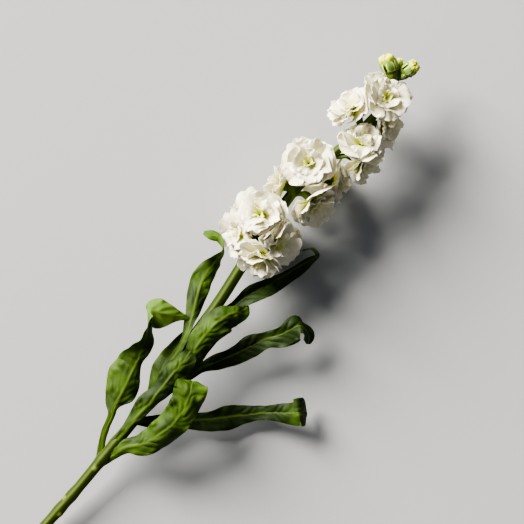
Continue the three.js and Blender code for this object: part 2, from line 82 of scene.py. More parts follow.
# Each leaf's midrib from stem to tip: x, y, z, width to the left and to the right of the midrib,
# roll of the whole blade and rise of both halves, in degrees.
LEAF_LINES = {
    "left": (
        (-93, 25, 15, 2.2, 2.2, 0, 0), (-79, 32, 19, 2.2, 2.2, 0, 0), (-67, 35.5, 22, 2.4, 2.2, 0, 0),
        (-61, 37.5, 23.5, 8, 3, 0, -10), (-51, 39, 26, 13.5, 9.5, 0, -16), (-42, 41, 28.5, 15.5, 8, 0, -18),
        (-32, 43.5, 31, 13, 4, 0, -14), (-23, 46.5, 33.5, 8, 6, 25, 0), (-15, 49, 36, 6.5, 8, 55, 5),
        (-7.5, 52.5, 38, 8, 8, 75, 5), (0.5, 58, 41, 10.5, 10.5, 115, 5), (4, 51, 39, 10, 10, 165, 5),
        (9, 42, 34, 4, 4, 180, 0), (12, 36, 31, 1.2, 1.2, 180, 0),
    ),
    "small": (
        (-47, 22, 20, 1.8, 1.8, 0, 0), (-36, 25, 24, 4, 4, 0, 0), (-28, 27, 26, 7, 6, 0, -14),
        (-19, 29, 27, 7, 6, 0, -14), (-10, 30, 27, 5, 5, 0, -8), (-2, 31, 26, 3, 3, 0, 0),
        (6, 31, 24, 1.2, 1.2, 0, 0),
    ),
    "front": (
        (-86, 23, 17, 2.5, 2.5, 0, 0), (-73, 22, 23, 3, 3, 0, -4), (-61, 22, 27, 5, 3.5, 0, -10),
        (-48, 21, 31, 8, 4, 0, -12), (-36, 21, 34, 6, 6.5, 0, -14), (-26, 21, 36, 7.5, 9, 0, -14),
        (-14, 21, 37, 6.5, 9, 0, -12), (-6, 21, 35, 4, 6, 0, -4), (-1, 22, 31, 1.5, 1.5, 0, 0),
    ),
    "middle": (
        (-30, 22, 22, 2.2, 2.2, 0, 0), (-20, 19, 27, 4, 4, 0, 0), (-9, 19, 31, 6, 8, 0, -8),
        (3, 20, 35, 8, 9, 0, -14), (16, 20, 38, 10, 10, 0, -18), (27, 18, 39, 8, 11, 0, -18),
        (34, 14, 36, 5, 9, 0, -14), (38, 11, 30, 3, 5, 0, 0), (42, 11, 24, 1.2, 1.2, 0, 0),
    ),
    "upper_right": (
        (18, 26, 25, 2, 2, 0, 0), (33, 19, 24, 3, 3, 0, 30), (46, 15, 22, 5.5, 8, 0, 38),
        (54, 12, 20, 6, 9.5, 0, 38), (61, 9, 18, 5, 8.5, 0, 30), (70, 5, 17, 2.5, 6.5, 0, 10),
        (81, 1, 19, 2, 5.5, 0, 0), (89, -2, 23, 2.5, 3.5, 20, 0), (95, -4, 26, 2.2, 2.2, 60, 0),
        (96, 1, 26, 2, 2, 70, 0), (92, 5, 23, 1.2, 1.2, 70, 0),
    ),
    "upper_left": (
        (-35, 23, 23, 2, 2, 0, 0), (-23, 26, 29, 2.5, 2.5, 0, 0), (-12, 27, 31, 3, 3, -25, 0),
        (0, 29, 31, 3, 3, -35, 0), (11, 33, 30, 4, 3, -20, 0), (21, 37, 29, 6, 5, 0, -12),
        (30, 41, 28, 8.5, 6.5, 0, -18), (40, 44, 27, 7.5, 6.5, 10, -16), (52, 45, 25, 4.5, 6, 35, 0),
        (60, 45, 23, 2.5, 3, 80, 0), (64, 51, 22, 3, 3, 140, 0), (63, 57, 22, 3.2, 3.2, 170, 0),
        (61, 62, 21, 1.2, 1.2, 180, 0),
    ),
    "right": (
        (-34, 22, 22, 2, 2, 0, 0), (-21, 13, 19, 2, 2, 0, 0), (-8, 9, 16, 3, 3, 0, 5),
        (1, 4, 15, 5, 5.5, 0, 10), (12, -2, 15, 5, 7, 0, 12), (23, -7, 17, 7, 7.5, 0, 10),
        (33, -12, 19, 4.5, 6.5, 0, 8), (42, -18, 22, 5, 9, 0, 5), (51, -22, 24, 7.5, 9, -10, 0),
        (53, -26, 23, 5, 5, -50, 0), (51, -32, 19, 4.5, 4.5, -30, 0), (47, -35, 13, 1.5, 1.5, 0, 0),
    ),
    "lowest": (
        (-62, 22, 18, 2, 2, 0, 0), (-52, 9, 12, 4.5, 4.5, 0, 0), (-42, -3, 9, 5, 5, 0, 5),
        (-32, -14, 7, 4.5, 8, 0, 8), (-22, -24, 6.5, 7.5, 8.5, 0, 8), (-14, -32, 6.5, 6, 5.5, 0, 5),
        (-6, -40, 8, 4.5, 4.5, 0, 5), (0, -47, 11, 5.5, 6, 0, 5), (6, -55, 15, 7, 8, 0, 0),
        (8.8, -57.4, 16.5, 9, 9.5, 0, 0), (11.4, -60, 11, 8, 8.5, 0, 0), (12.4, -61, 6, 3, 3, 0, 0),
    ),
    "broad": (
        (-97, 22.5, 15, 3.2, 3.2, 0, 0), (-79, 16, 22, 5, 4, 0, -4), (-70, 9, 27, 7, 8, 0, -8),
        (-59, 4, 32, 9, 9, 0, -10), (-45, 1, 36, 10.5, 9.5, 0, -10), (-33, 2, 40, 10.5, 9.5, 0, -8),
        (-24, 5, 42, 11, 10.5, 0, -4), (-20, 7, 40, 10.5, 10.5, 0, 0), (-18, 8, 34, 8, 8, 0, 0),
    ),
}

# Painted shade on each leaf: 1 for the brightest, lower where a whole leaf is painted deeper green because
# it lies in shade, facing away from the light.
LEAF_PAINTED_LIGHT = {
    "left": 0.95, "small": 0.9, "front": 0.6, "middle": 0.85, "upper_right": 0.4,
    "upper_left": 0.9, "right": 0.35, "lowest": 0.35, "broad": 1.0,
}

# Each floret: middle, the way it faces, radius, where its stalk leaves the stem, and if it rests.
FLORET_PLACES = (
    ((93, 42, 42), (0.18, 0.3, 0.94), 20, 80, False),
    ((74, 45, 32), (-0.61, 0.61, 0.5), 17, 69, False),
    ((68.2, 23.5, 40), (-0.84, -0.22, 0.5), 18, 64, False),
    ((85, 19, 38), (0.1, -0.75, 0.66), 19, 74, False),
    ((115.6, 45, 25), (-0.2, 0.95, -0.2), 16, 100, False),
    ((138, 37, 42), (0.17, 0.2, 0.97), 19, 126, False),
    ((118.2, 14.5, 33), (-0.25, -0.9, 0.35), 18.5, 106, False),
    ((139, 13, 21), (0.27, -0.9, -0.3), 15.5, 126, False),
    ((171, 18.2, 42), (0.6, 0.1, 0.79), 17, 149, False),
    ((157, 6, 29), (-0.14, -0.88, 0.45), 16.5, 141, False),
    ((183, 39, 36), (0.2, 0.78, 0.6), 17, 158, False),
    ((202, 24, 43), (0.38, -0.15, 0.91), 18, 190, False),
    ((187, 10.5, 28.5), (0.31, -0.9, 0.32), 16, 175, False),
    ((82, 48, 10), (-0.1, 0.7, -0.7), 16, 74, True),
    ((86, 17, 11), (0, -0.7, -0.7), 16, 80, True),
    ((140, 30.5, 7.5), (0.1, 0.3, -0.95), 16, 128, True),
)

# Each bud at the tip: mouth of its calyx, the way it faces, radius, petal length, stalk's root.
BUD_PLACES = (
    ((216.5, 33.3, 35), (0.5, 0.8, 0.3), 5.1, 10, 205),
    ((220.6, 30, 28.8), (0.87, 0.4, 0.2), 2, 6.5, 209),
    ((222.6, 24.6, 33.4), (0.82, -0.25, 0.45), 4.2, 8.5, 207),
)


class Slot(Enum):
    """The record's material slots."""

    LEAF = "leaf_green"
    PETAL = "petal_white"
    BUD = "bud_cream"


class Value(Enum):
    """The numbers that every point of a piece carries for its material."""

    ALONG = "along"
    ACROSS = "across"
    TONE = "tone"
    UPPER = "upper"


# ---- Curves and noise ------------------------------------------------------------------


def unit(vectors: Array) -> Array:
    """Vectors scaled to length one."""
    return vectors / np.maximum(np.linalg.norm(vectors, axis=-1, keepdims=True), 1e-9)


def through(rows: Array, t: Array) -> Array:
    """A smooth curve through rows of numbers, each column alike.

    Between two rows it is the Catmull-Rom cubic, which leaves each row along the line between
    its two neighbours. The rows past both ends mirror the last step.

    Args:
        rows: One row of numbers for each point.
        t: Places on the curve, from 0 to 1.

    Returns:
        One row of numbers for each place.
    """
    last = len(rows) - 1
    i = np.minimum((t * last).astype(int), last - 1)
    f = (t * last - i)[:, None]
    padded = np.vstack([2 * rows[0] - rows[1], rows, 2 * rows[-1] - rows[-2]])
    p0, p1, p2, p3 = (padded[i + k] for k in range(4))
    square = 2 * p0 - 5 * p1 + 4 * p2 - p3
    cube = 3 * p1 - p0 - 3 * p2 + p3
    return 0.5 * (2 * p1 + (p2 - p0) * f + square * f**2 + cube * f**3)


def stem_at(x: float, steps: int = 2000) -> Array:
    """The stem's row at a place along X, read from a fine walk along its curve."""
    walk = through(STEM_LINE, np.linspace(0, 1, steps))
    return np.array([np.interp(x, walk[:, 0], walk[:, c]) for c in range(4)])


def cross_of(axis: Array, steep: float = 0.9) -> tuple[Array, Array]:
    """Two directions square to an axis and to each other, right-handed with it.

    Args:
        axis: The axis, of length one.
        steep: How much of it may point up or down before a level helper is used.

    Returns:
        The side, which is level unless the axis is steep, and the rise.
    """
    helper = np.array((0.0, 0.0, 1.0) if abs(axis[2]) < steep else (1.0, 0.0, 0.0))
    side = unit(np.cross(helper, axis))
    return side, np.cross(axis, side)


def bent_path(start: Array, bend: Array, end: Array, t: Array) -> tuple[Array, Array]:
    """A quadratic curve from start to end, drawn towards bend.

    Its point is (1 - t)^2 start + 2 t (1 - t) bend + t^2 end.

    Args:
        start: Where it starts.
        bend: What it is drawn towards.
        end: Where it ends.
        t: Places on the curve, from 0 to 1, with a last axis of one.

    Returns:
        The points, and the directions at them.
    """
    points = (1 - t) ** 2 * start + 2 * t * (1 - t) * bend + t**2 * end
    return points, unit((1 - t) * (bend - start) + t * (end - bend))


def angles_round(sides: int) -> Array:
    """Angles at even steps round a tube, in radians."""
    return np.linspace(0, 2 * math.pi, sides, endpoint=False)


def places_on(rows: int, columns: int) -> tuple[Array, Array]:
    """A sheet's places: 0 to 1 along it, as a column, and -1 to 1 across it, as a row."""
    return np.linspace(0, 1, rows)[:, None], np.linspace(-1, 1, columns)[None]


def ripples(a: Array, b: Array, length: float, rng: np.random.Generator, waves: int = 7) -> Array:
    """Smooth noise from about -1 to 1: a sum of sine waves in random directions.

    Args:
        a: First coordinate, in millimetres.
        b: Second coordinate, in millimetres.
        length: The middle wavelength, in millimetres.
        rng: Where the directions, wavelengths and phases are drawn from.
        waves: How many waves are added.

    Returns:
        The noise at each point.
    """
    shortest, longest, last_phase = 0.7, 1.5, 7
    total = np.zeros(np.broadcast_shapes(np.shape(a), np.shape(b)))
    for _ in range(waves):
        way = rng.uniform(0, 2 * math.pi)
        pace = 2 * math.pi / (length * rng.uniform(shortest, longest))
        phase = rng.uniform(0, last_phase)
        total += np.sin(pace * (a * math.cos(way) + b * math.sin(way)) + phase)
    return total / math.sqrt(waves)


# ---- Meshes ----------------------------------------------------------------------------


@dataclass
class Skin:
    """Closed patches of points and quads, gathered into one mesh with values for its material."""

    points: list[Array] = field(default_factory=list)
    quads: list[Array] = field(default_factory=list)
    triangles: list[Array] = field(default_factory=list)
    values: dict[Value, list[Array]] = field(default_factory=lambda: {v: [] for v in Value})
    count: int = 0
    sharp_past: float = math.radians(60)

    def add(
        self, points: Array, quads: Array, values: dict[Value, Array], fans: Array | None = None,
    ) -> None:
        """Adds one patch.

        Args:
            points: Its points, one row each.
            quads: Its four-sided faces, as rows of point numbers.
            values: One number for each point, for every kind of value.
            fans: Its three-sided faces, if it has any.
        """
        self.points.append(points)
        self.quads.append(quads + self.count)
        if fans is not None:
            self.triangles.append(fans + self.count)
        for kind in Value:
            self.values[kind].append(np.broadcast_to(values[kind], len(points)))
        self.count += len(points)

    def add_sheet(self, grid: Array, thickness: Array | float, values: dict[Value, Array]) -> None:
        """Adds a thin closed sheet: the grid moved half its thickness to both sides, with a rim.

        Args:
            grid: Rows of points, from the root to the tip.
            thickness: One thickness, or one for each point, in millimetres.
            values: The material's numbers, one or a grid for each kind.
        """
        rows, columns = grid.shape[:2]
        along = np.gradient(grid, axis=0)
        across = np.gradient(grid, axis=1)
        half = np.broadcast_to(thickness, (rows, columns))[..., None] / 2
        normal = unit(np.cross(across, along)) * half
        number = np.arange(rows * columns).reshape(rows, columns)
        corners = number[:-1, :-1], number[:-1, 1:], number[1:, 1:], number[1:, :-1]
        top = np.stack(corners, -1).reshape(-1, 4)
        rim = np.concatenate([number[0, :-1], number[:-1, -1], number[-1, :0:-1], number[:0:-1, 0]])
        after = np.roll(rim, -1)
        under = number.size
        sides = np.stack([rim, rim + under, after + under, after], -1)
        quads = np.vstack([top, top[:, ::-1] + under, sides])
        points = np.vstack([(grid + normal).reshape(-1, 3), (grid - normal).reshape(-1, 3)])
        spread = {k: np.tile(np.broadcast_to(v, (rows, columns)).ravel(), 2) for k, v in values.items()}
        spread[Value.UPPER] = np.repeat((0.0, 1.0), number.size)
        self.add(points, quads, spread)

    def add_tube(self, rings: Array, values: dict[Value, Array]) -> None:
        """Adds a closed tube: rings of points joined by quads, with a fan over each end.

        Args:
            rings: Rings of points, each turning right-handed about the way the tube runs.
            values: The material's numbers, one or a grid for each kind.
        """
        rows, sides = rings.shape[:2]
        number = np.arange(rows * sides).reshape(rows, sides)
        after = np.roll(number, -1, axis=1)
        quads = np.stack([number[:-1], after[:-1], after[1:], number[1:]], -1).reshape(-1, 4)
        start, end = rows * sides, rows * sides + 1
        fans = np.vstack([
            np.stack([np.full(sides, start), after[0], number[0]], -1),
            np.stack([np.full(sides, end), number[-1], after[-1]], -1),
        ])
        points = np.vstack([rings.reshape(-1, 3), rings[0].mean(0), rings[-1].mean(0)])
        spread = {Value.UPPER: np.array(1.0)}
        for kind, value in values.items():
            full = np.broadcast_to(value, (rows, sides))
            spread[kind] = np.concatenate([full.ravel(), [full[0].mean(), full[-1].mean()]])
        self.add(points, quads, spread, fans)

    def piece(self, name: str, material: bpy.types.Material, slot: Slot, *nodes: str) -> None:
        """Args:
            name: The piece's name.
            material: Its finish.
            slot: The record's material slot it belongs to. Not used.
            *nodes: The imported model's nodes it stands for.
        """
        points = (np.vstack(self.points) - CENTRE) * MM
        faces = [q.tolist() for q in self.quads] + [t.tolist() for t in self.triangles]
        mesh = bpy.data.meshes.new(name)
        mesh.from_pydata(points.tolist(), [], [f for part in faces for f in part])
        for kind in Value:
            layer = mesh.attributes.new(kind.value, "FLOAT", "POINT")
            layer.data.foreach_set("value", np.concatenate(self.values[kind]).astype(np.float32))
        mesh.shade_smooth()
        mesh.set_sharp_from_angle(angle=self.sharp_past)
        mesh.materials.append(material)
        piece = bpy.data.objects.new(name, mesh)
        bpy.context.scene.collection.objects.link(piece)
        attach(piece, BODY)
        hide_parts(*nodes)
        LOG.info("%s: %d faces", name, len(mesh.polygons))


def laid_down(points: Array) -> Array:
    """Points kept off the surface: height above it eases to a thin clearance instead of passing it.

    Height becomes clearance + softness x ln(1 + e^((height - clearance) / softness)).

    Args:
        points: The points, in millimetres.

    Returns:
        The moved points.
    """
    clearance, softness = 0.25, 0.7
    laid = points.copy()
    laid[..., 2] = clearance + softness * np.logaddexp(0, (points[..., 2] - clearance) / softness)
    return laid


def tube_rings(centres: Array, sides: Array, rises: Array, radii: Array) -> Array:
    """Rings of points round a path: centre + radius x (side x cos angle + rise x sin angle).

    Args:
        centres: One centre for each ring.
        sides: One direction square to the path for each ring.
        rises: The other direction square to the path for each ring.
        radii: A radius for each ring and angle.

    Returns:
        Points by ring and angle.
    """
    angle = angles_round(radii.shape[1])[None, :, None]
    spoke = sides[:, None] * np.cos(angle) + rises[:, None] * np.sin(angle)
    return centres[:, None] + radii[..., None] * spoke


# ---- Finishes --------------------------------------------------------------------------


def linear(colour: str) -> tuple[float, float, float, float]:
    """A colour turned from sRGB to the linear light that shaders work in.

    The sRGB curve is a straight line below 0.04045 and a power of 2.4 above it.

    Args:
        colour: Its sRGB hex digits, such as "#efebd8".

    Returns:
        Red, green, blue and a full alpha.
    """
    parts = [int(colour[i:i + 2], 16) / 255 for i in (1, 3, 5)]
    light = [c / 12.92 if c <= 0.04045 else ((c + 0.055) / 1.055) ** 2.4 for c in parts]
    return (*light, 1.0)


def add_node(tree: bpy.types.NodeTree, kind: str, inputs: dict | None = None, **settings: object) -> Node:
    """Adds one node with its settings, and sets or links its inputs.

    Args:
        tree: The material's nodes.
        kind: The node's type.
        inputs: For an input's name or number, the socket to link to it or the value to set.
        **settings: The node's own properties.

    Returns:
        The new node.
    """
    made = tree.nodes.new(kind)
    for key, value in settings.items():
        setattr(made, key, value)
    for key, value in (inputs or {}).items():
        if isinstance(value, bpy.types.NodeSocket):
            tree.links.new(value, made.inputs[key])
        else:
            made.inputs[key].default_value = value
    return made


# A mix node's sockets for colours: its two inputs, from factor 0 to factor 1, and its output.
COLOUR_0, COLOUR_1 = 6, 7
MIXED = 2


@dataclass(frozen=True)
class Finish:
    """A finish. The qualities that are even all over stand on the shader's own sockets.

    Fresh plant tissue is water in clear walls under thin wax: its IOR is near 1.5, it has no metal
    in it, and some of the light goes about a millimetre into it and comes out tinted. grain_mm is
    the size of its fine relief, relief_mm its height, and line_share how much its lines add.
    """

    name: str
    roughness: float
    ior: float = 1.5
    glow: float = 0.0
    glow_tint: tuple[float, float, float] = (1.0, 1.0, 1.0)
    glow_reach_mm: float = 1.5
    specular: float = 0.4
    down: float = 0.0
    grain_mm: float = 1.0
    grain_detail: float = 4.0
    line_share: float = 0.3
    relief_mm: float = 0.2
    relief_strength: float = 0.3

    def start(self) -> tuple[bpy.types.Material, bpy.types.NodeTree, Node]:
        """Makes the material with its even qualities.

        Returns:
            The material, its nodes and its shader.
        """
        material = bpy.data.materials.new(self.name)
        material.use_nodes = True
        tree = material.node_tree
        shader = tree.nodes["Principled BSDF"]
        even = {
            "Roughness": self.roughness, "IOR": self.ior, "Specular IOR Level": self.specular,
            "Sheen Weight": self.down, "Subsurface Weight": self.glow,
            "Subsurface Radius": self.glow_tint, "Subsurface Scale": self.glow_reach_mm * MM,
        }
        for name, value in even.items():
            shader.inputs[name].default_value = value
        return material, tree, shader

    def carried(self, tree: bpy.types.NodeTree) -> dict[Value, Socket]:
        """The numbers that each point of a piece carries."""
        kind = "ShaderNodeAttribute"
        return {v: add_node(tree, kind, attribute_name=v.value).outputs["Fac"] for v in Value}

    def roughen(self, tree: bpy.types.NodeTree, shader: Node, lines: Node | None = None) -> None:
        """Raises the fine relief: noise over the piece's own place, plus lines if there are any.

        Args:
            tree: The material's nodes.
            shader: Its shader.
            lines: The node that gives the lines' height.
        """
        place = add_node(tree, "ShaderNodeTexCoord")
        grain = add_node(tree, "ShaderNodeTexNoise", {
            "Vector": place.outputs["Object"], "Scale": 1 / (self.grain_mm * MM),
            "Detail": self.grain_detail,
        })
        height = grain.outputs["Fac"]
        if lines is not None:
            both = add_node(tree, "ShaderNodeMath", {
                0: lines.outputs[0], 1: self.line_share, 2: height,
            }, operation="MULTIPLY_ADD")
            height = both.outputs[0]
        bump = add_node(tree, "ShaderNodeBump", {
            "Height": height, "Strength": self.relief_strength, "Distance": self.relief_mm * MM,
        })
        tree.links.new(bump.outputs["Normal"], shader.inputs["Normal"])


@dataclass(frozen=True)
class PetalFinish(Finish):
    """Fresh petal, grown thin and translucent, with fine lengthwise veins.

    It gives the eye a matt white that light comes through a little, cream further in and
    yellow-green in the throat, with faint veins and crepe where the light rakes it. The white towards
    the rims is partly the petal's own and partly painted light on the thin margins.
    """

    name: str = "fresh white petal"
    roughness: float = 0.55
    glow: float = 0.3
    glow_tint: tuple[float, float, float] = (0.95, 1.0, 0.85)
    glow_reach_mm: float = 0.9
    specular: float = 0.3
    down: float = 0.05
    # The crepe of a petal's cells is 0.04 mm fine. It is drawn coarser, so that it shows.
    grain_mm: float = 1.4
    grain_detail: float = 3.0
    relief_mm: float = 0.32
    white: str = "#efebd8"
    cream: str = "#dad5b2"
    throat: str = "#cfda38"
    throat_start: float = 0.08
    throat_end: float = 0.55
    # Where the cream turns white towards the rim: partly the petal's own colour, partly painted light.
    rim_light_start: float = 0.35
    rim_light_end: float = 0.98
    corner: float = 0.1
    # Radians of a sine from the midline to the edge, so a vein about every 2.5 mm of a wide petal.
    # Real ones stand about 1 mm apart. They are drawn coarser too, so that they show.
    veins: float = 26.0

    def make(self) -> bpy.types.Material:
        """Colours it yellow-green at the root, cream further out, then white at the margin, partly as
        painted light on the rims.

        Returns:
            The finished material.
        """
        material, tree, shader = self.start()
        value = self.carried(tree)
        away = add_node(tree, "ShaderNodeMath", {0: value[Value.ACROSS]}, operation="ABSOLUTE")
        # The white rim: partly the petal's own white, partly painted light on its thin margins.
        edge = add_node(tree, "ShaderNodeMath", {
            0: away.outputs[0], 1: value[Value.ALONG], 2: self.corner,
        }, operation="SMOOTH_MAX")
        margin = add_node(tree, "ShaderNodeMapRange", {
            "Value": edge.outputs[0], "From Min": self.rim_light_start, "From Max": self.rim_light_end,
        })
        root = add_node(tree, "ShaderNodeMapRange", {
            "Value": value[Value.ALONG], "From Min": self.throat_start, "From Max": self.throat_end,
        }, interpolation_type="SMOOTHSTEP")
        blade = add_node(tree, "ShaderNodeMix", {
            "Factor": margin.outputs[0], COLOUR_0: linear(self.cream), COLOUR_1: linear(self.white),
        }, data_type="RGBA")
        colour = add_node(tree, "ShaderNodeMix", {
            "Factor": root.outputs[0], COLOUR_0: linear(self.throat), COLOUR_1: blade.outputs[MIXED],
        }, data_type="RGBA")
        tree.links.new(colour.outputs[MIXED], shader.inputs["Base Color"])
        ray = add_node(tree, "ShaderNodeMath", {
            0: value[Value.ACROSS], 1: self.veins,
        }, operation="MULTIPLY")
        vein = add_node(tree, "ShaderNodeMath", {0: ray.outputs[0]}, operation="SINE")
        self.roughen(tree, shader, vein)
        return material


@dataclass(frozen=True)
class LeafFinish(Finish):
    """Fresh leaf blade, grown under thin wax and a fine down.

    It gives the eye a soft satin green in broad random blotches, with painted light on the cushions
    between the side veins, painted shade in their creases and on whole leaves, a paler back and a
    pale midrib. The down keeps every shine weak and wide. The rib's core and reach are in parts of
    the midrib's half width, as a leaf's across value is.
    """

    name: str = "fresh downy leaf blade"
    roughness: float = 0.6
    glow: float = 0.08
    glow_tint: tuple[float, float, float] = (0.5, 1.0, 0.15)
    glow_reach_mm: float = 1.2
    specular: float = 0.15
    # The hairs of the down stand about 0.1 mm apart. They are drawn coarser, so that they show.
    grain_mm: float = 0.9
    relief_mm: float = 0.22
    relief_strength: float = 0.4
    # lit and deep are the painted-light and painted-shade ends of the green, mixed by the tone and, at
    # random, by the blotch.
    lit: str = "#4a661c"
    deep: str = "#182806"
    rib: str = "#4e6420"
    under: str = "#4c6526"
    blotch_mm: float = 20.0
    blotch_detail: float = 2.0
    tone_share: float = 0.5
    deep_at: float = 0.46
    lit_at: float = 1.18
    rib_core: float = 0.2
    rib_reach: float = 0.75
    rib_share: float = 0.65

    def make(self) -> bpy.types.Material:
        """Colours it green by the tone's painted light and shade and by a random blotch, with the pale
        midrib, and its back even.

        Returns:
            The finished material.
        """
        material, tree, shader = self.start()
        value = self.carried(tree)
        place = add_node(tree, "ShaderNodeTexCoord")
        blotch = add_node(tree, "ShaderNodeTexNoise", {
            "Vector": place.outputs["Object"], "Scale": 1 / (self.blotch_mm * MM),
            "Detail": self.blotch_detail,
        })
        # The tone mixes deep towards lit as painted light and shade. The blotch mixes them at random.
        mixed = add_node(tree, "ShaderNodeMath", {
            0: value[Value.TONE], 1: self.tone_share, 2: blotch.outputs["Fac"],
        }, operation="MULTIPLY_ADD")
        share = add_node(tree, "ShaderNodeMapRange", {
            "Value": mixed.outputs[0], "From Min": self.deep_at, "From Max": self.lit_at,
        }, interpolation_type="SMOOTHSTEP")
        blade = add_node(tree, "ShaderNodeMix", {
            "Factor": share.outputs[0], COLOUR_0: linear(self.deep), COLOUR_1: linear(self.lit),
        }, data_type="RGBA")
        away = add_node(tree, "ShaderNodeMath", {0: value[Value.ACROSS]}, operation="ABSOLUTE")
        rib = add_node(tree, "ShaderNodeMapRange", {
            "Value": away.outputs[0], "From Min": self.rib_reach, "From Max": self.rib_core,
            "To Max": self.rib_share,
        }, interpolation_type="SMOOTHSTEP")
        upper = add_node(tree, "ShaderNodeMix", {
            "Factor": rib.outputs[0], COLOUR_0: blade.outputs[MIXED], COLOUR_1: linear(self.rib),
        }, data_type="RGBA")
        colour = add_node(tree, "ShaderNodeMix", {
            "Factor": value[Value.UPPER], COLOUR_0: linear(self.under), COLOUR_1: upper.outputs[MIXED],
        }, data_type="RGBA")
        tree.links.new(colour.outputs[MIXED], shader.inputs["Base Color"])
        self.roughen(tree, shader)
        return material


@dataclass(frozen=True)
class StemFinish(Finish):
    """Fresh green stem, grown with lengthwise ribs under a smooth waxy skin.

    It gives the eye an olive green that deepens towards the tip, paler streaks on the ribs and pale
    spots where leaves fell off, all with a dull, even shine.
    """

    name: str = "fresh green stem skin"
    roughness: float = 0.6
    glow: float = 0.1
    glow_tint: tuple[float, float, float] = (0.6, 1.0, 0.2)
    specular: float = 0.12
    # Skin cells are 0.05 mm wide. Their grain is drawn coarser, so that it shows.
    grain_mm: float = 1.2
    base: str = "#2f3c10"
    tip: str = "#192a08"
    pale: str = "#687a33"

    def make(self) -> bpy.types.Material:
        """Colours it olive at the foot, deep green at the tip and pale where the tone is 1.

        Returns:
            The finished material.
        """
        material, tree, shader = self.start()
        value = self.carried(tree)
        skin = add_node(tree, "ShaderNodeMix", {
            "Factor": value[Value.ALONG], COLOUR_0: linear(self.base), COLOUR_1: linear(self.tip),
        }, data_type="RGBA")
        colour = add_node(tree, "ShaderNodeMix", {
            "Factor": value[Value.TONE], COLOUR_0: skin.outputs[MIXED], COLOUR_1: linear(self.pale),
        }, data_type="RGBA")
        tree.links.new(colour.outputs[MIXED], shader.inputs["Base Color"])
        self.roughen(tree, shader)
        return material


@dataclass(frozen=True)
class SepalFinish(Finish):
    """Sepal of a bud, grown leathery and downy, with a papery margin.

    It gives the eye a grey-green that pales to the edges and along fine lines.
    """

    name: str = "downy bud sepal"
    roughness: float = 0.6
    glow: float = 0.2
    glow_tint: tuple[float, float, float] = (0.7, 1.0, 0.3)
    glow_reach_mm: float = 1.0
    specular: float = 0.25
    down: float = 0.05
    green: str = "#66803a"
    margin: str = "#c3d07c"
    # Radians of a cosine from the midline to the edge, so a line about every 2 mm. Real ones stand
    # 0.5 mm apart. They are drawn coarser, so that they show.
    lines: float = 9.0
    line_pale: float = 0.22
    green_at: float = 0.55
    margin_at: float = 1.1

    def make(self) -> bpy.types.Material:
        """Colours it green, with a pale share that grows to the edge and along fine lines.

        Returns:
            The finished material.
        """
        material, tree, shader = self.start()
        value = self.carried(tree)
        away = add_node(tree, "ShaderNodeMath", {0: value[Value.ACROSS]}, operation="ABSOLUTE")
        ray = add_node(tree, "ShaderNodeMath", {
            0: away.outputs[0], 1: self.lines,
        }, operation="MULTIPLY")
        line = add_node(tree, "ShaderNodeMath", {0: ray.outputs[0]}, operation="COSINE")
        pale = add_node(tree, "ShaderNodeMath", {
            0: line.outputs[0], 1: self.line_pale, 2: away.outputs[0],
        }, operation="MULTIPLY_ADD")
        share = add_node(tree, "ShaderNodeMapRange", {
            "Value": pale.outputs[0], "From Min": self.green_at, "From Max": self.margin_at,
        }, interpolation_type="SMOOTHSTEP")
        colour = add_node(tree, "ShaderNodeMix", {
            "Factor": share.outputs[0], COLOUR_0: linear(self.green), COLOUR_1: linear(self.margin),
        }, data_type="RGBA")
        tree.links.new(colour.outputs[MIXED], shader.inputs["Base Color"])
        return material


@dataclass(frozen=True)
class BudFinish(Finish):
    """Bud petals, still folded and full of sap.

    They give the eye a fresh yellow-green that goes pale yellow at the frilled tips, glowing in
    the light because they are thin.
    """

    name: str = "folded bud petal"
    roughness: float = 0.5
    glow: float = 0.5
    glow_tint: tuple[float, float, float] = (1.0, 1.0, 0.5)
    tip: str = "#d3df50"
    foot: str = "#98b316"
    foot_at: float = 0.15
    tip_at: float = 0.9

    def make(self) -> bpy.types.Material:
        """Colours it yellow-green at the foot and pale yellow at the tip.

        Returns:
            The finished material.
        """
        material, tree, shader = self.start()
        share = add_node(tree, "ShaderNodeMapRange", {
            "Value": self.carried(tree)[Value.ALONG], "From Min": self.foot_at, "From Max": self.tip_at,
        }, interpolation_type="SMOOTHSTEP")
        colour = add_node(tree, "ShaderNodeMix", {
            "Factor": share.outputs[0], COLOUR_0: linear(self.foot), COLOUR_1: linear(self.tip),
        }, data_type="RGBA")
        tree.links.new(colour.outputs[MIXED], shader.inputs["Base Color"])
        return material


@dataclass(frozen=True)
class FloorFinish(Finish):
    """Board painted matt. It gives the eye an even pale grey without a reflection."""

    name: str = "matt painted board"
    roughness: float = 0.9
    paint: str = "#9da0a5"

    def make(self) -> bpy.types.Material:
        """Paints it evenly.

        Returns:
            The finished material.
        """
        material, _, shader = self.start()
        shader.inputs["Base Color"].default_value = linear(self.paint)
        return material


# ---- Stem and stalks -------------------------------------------------------------------


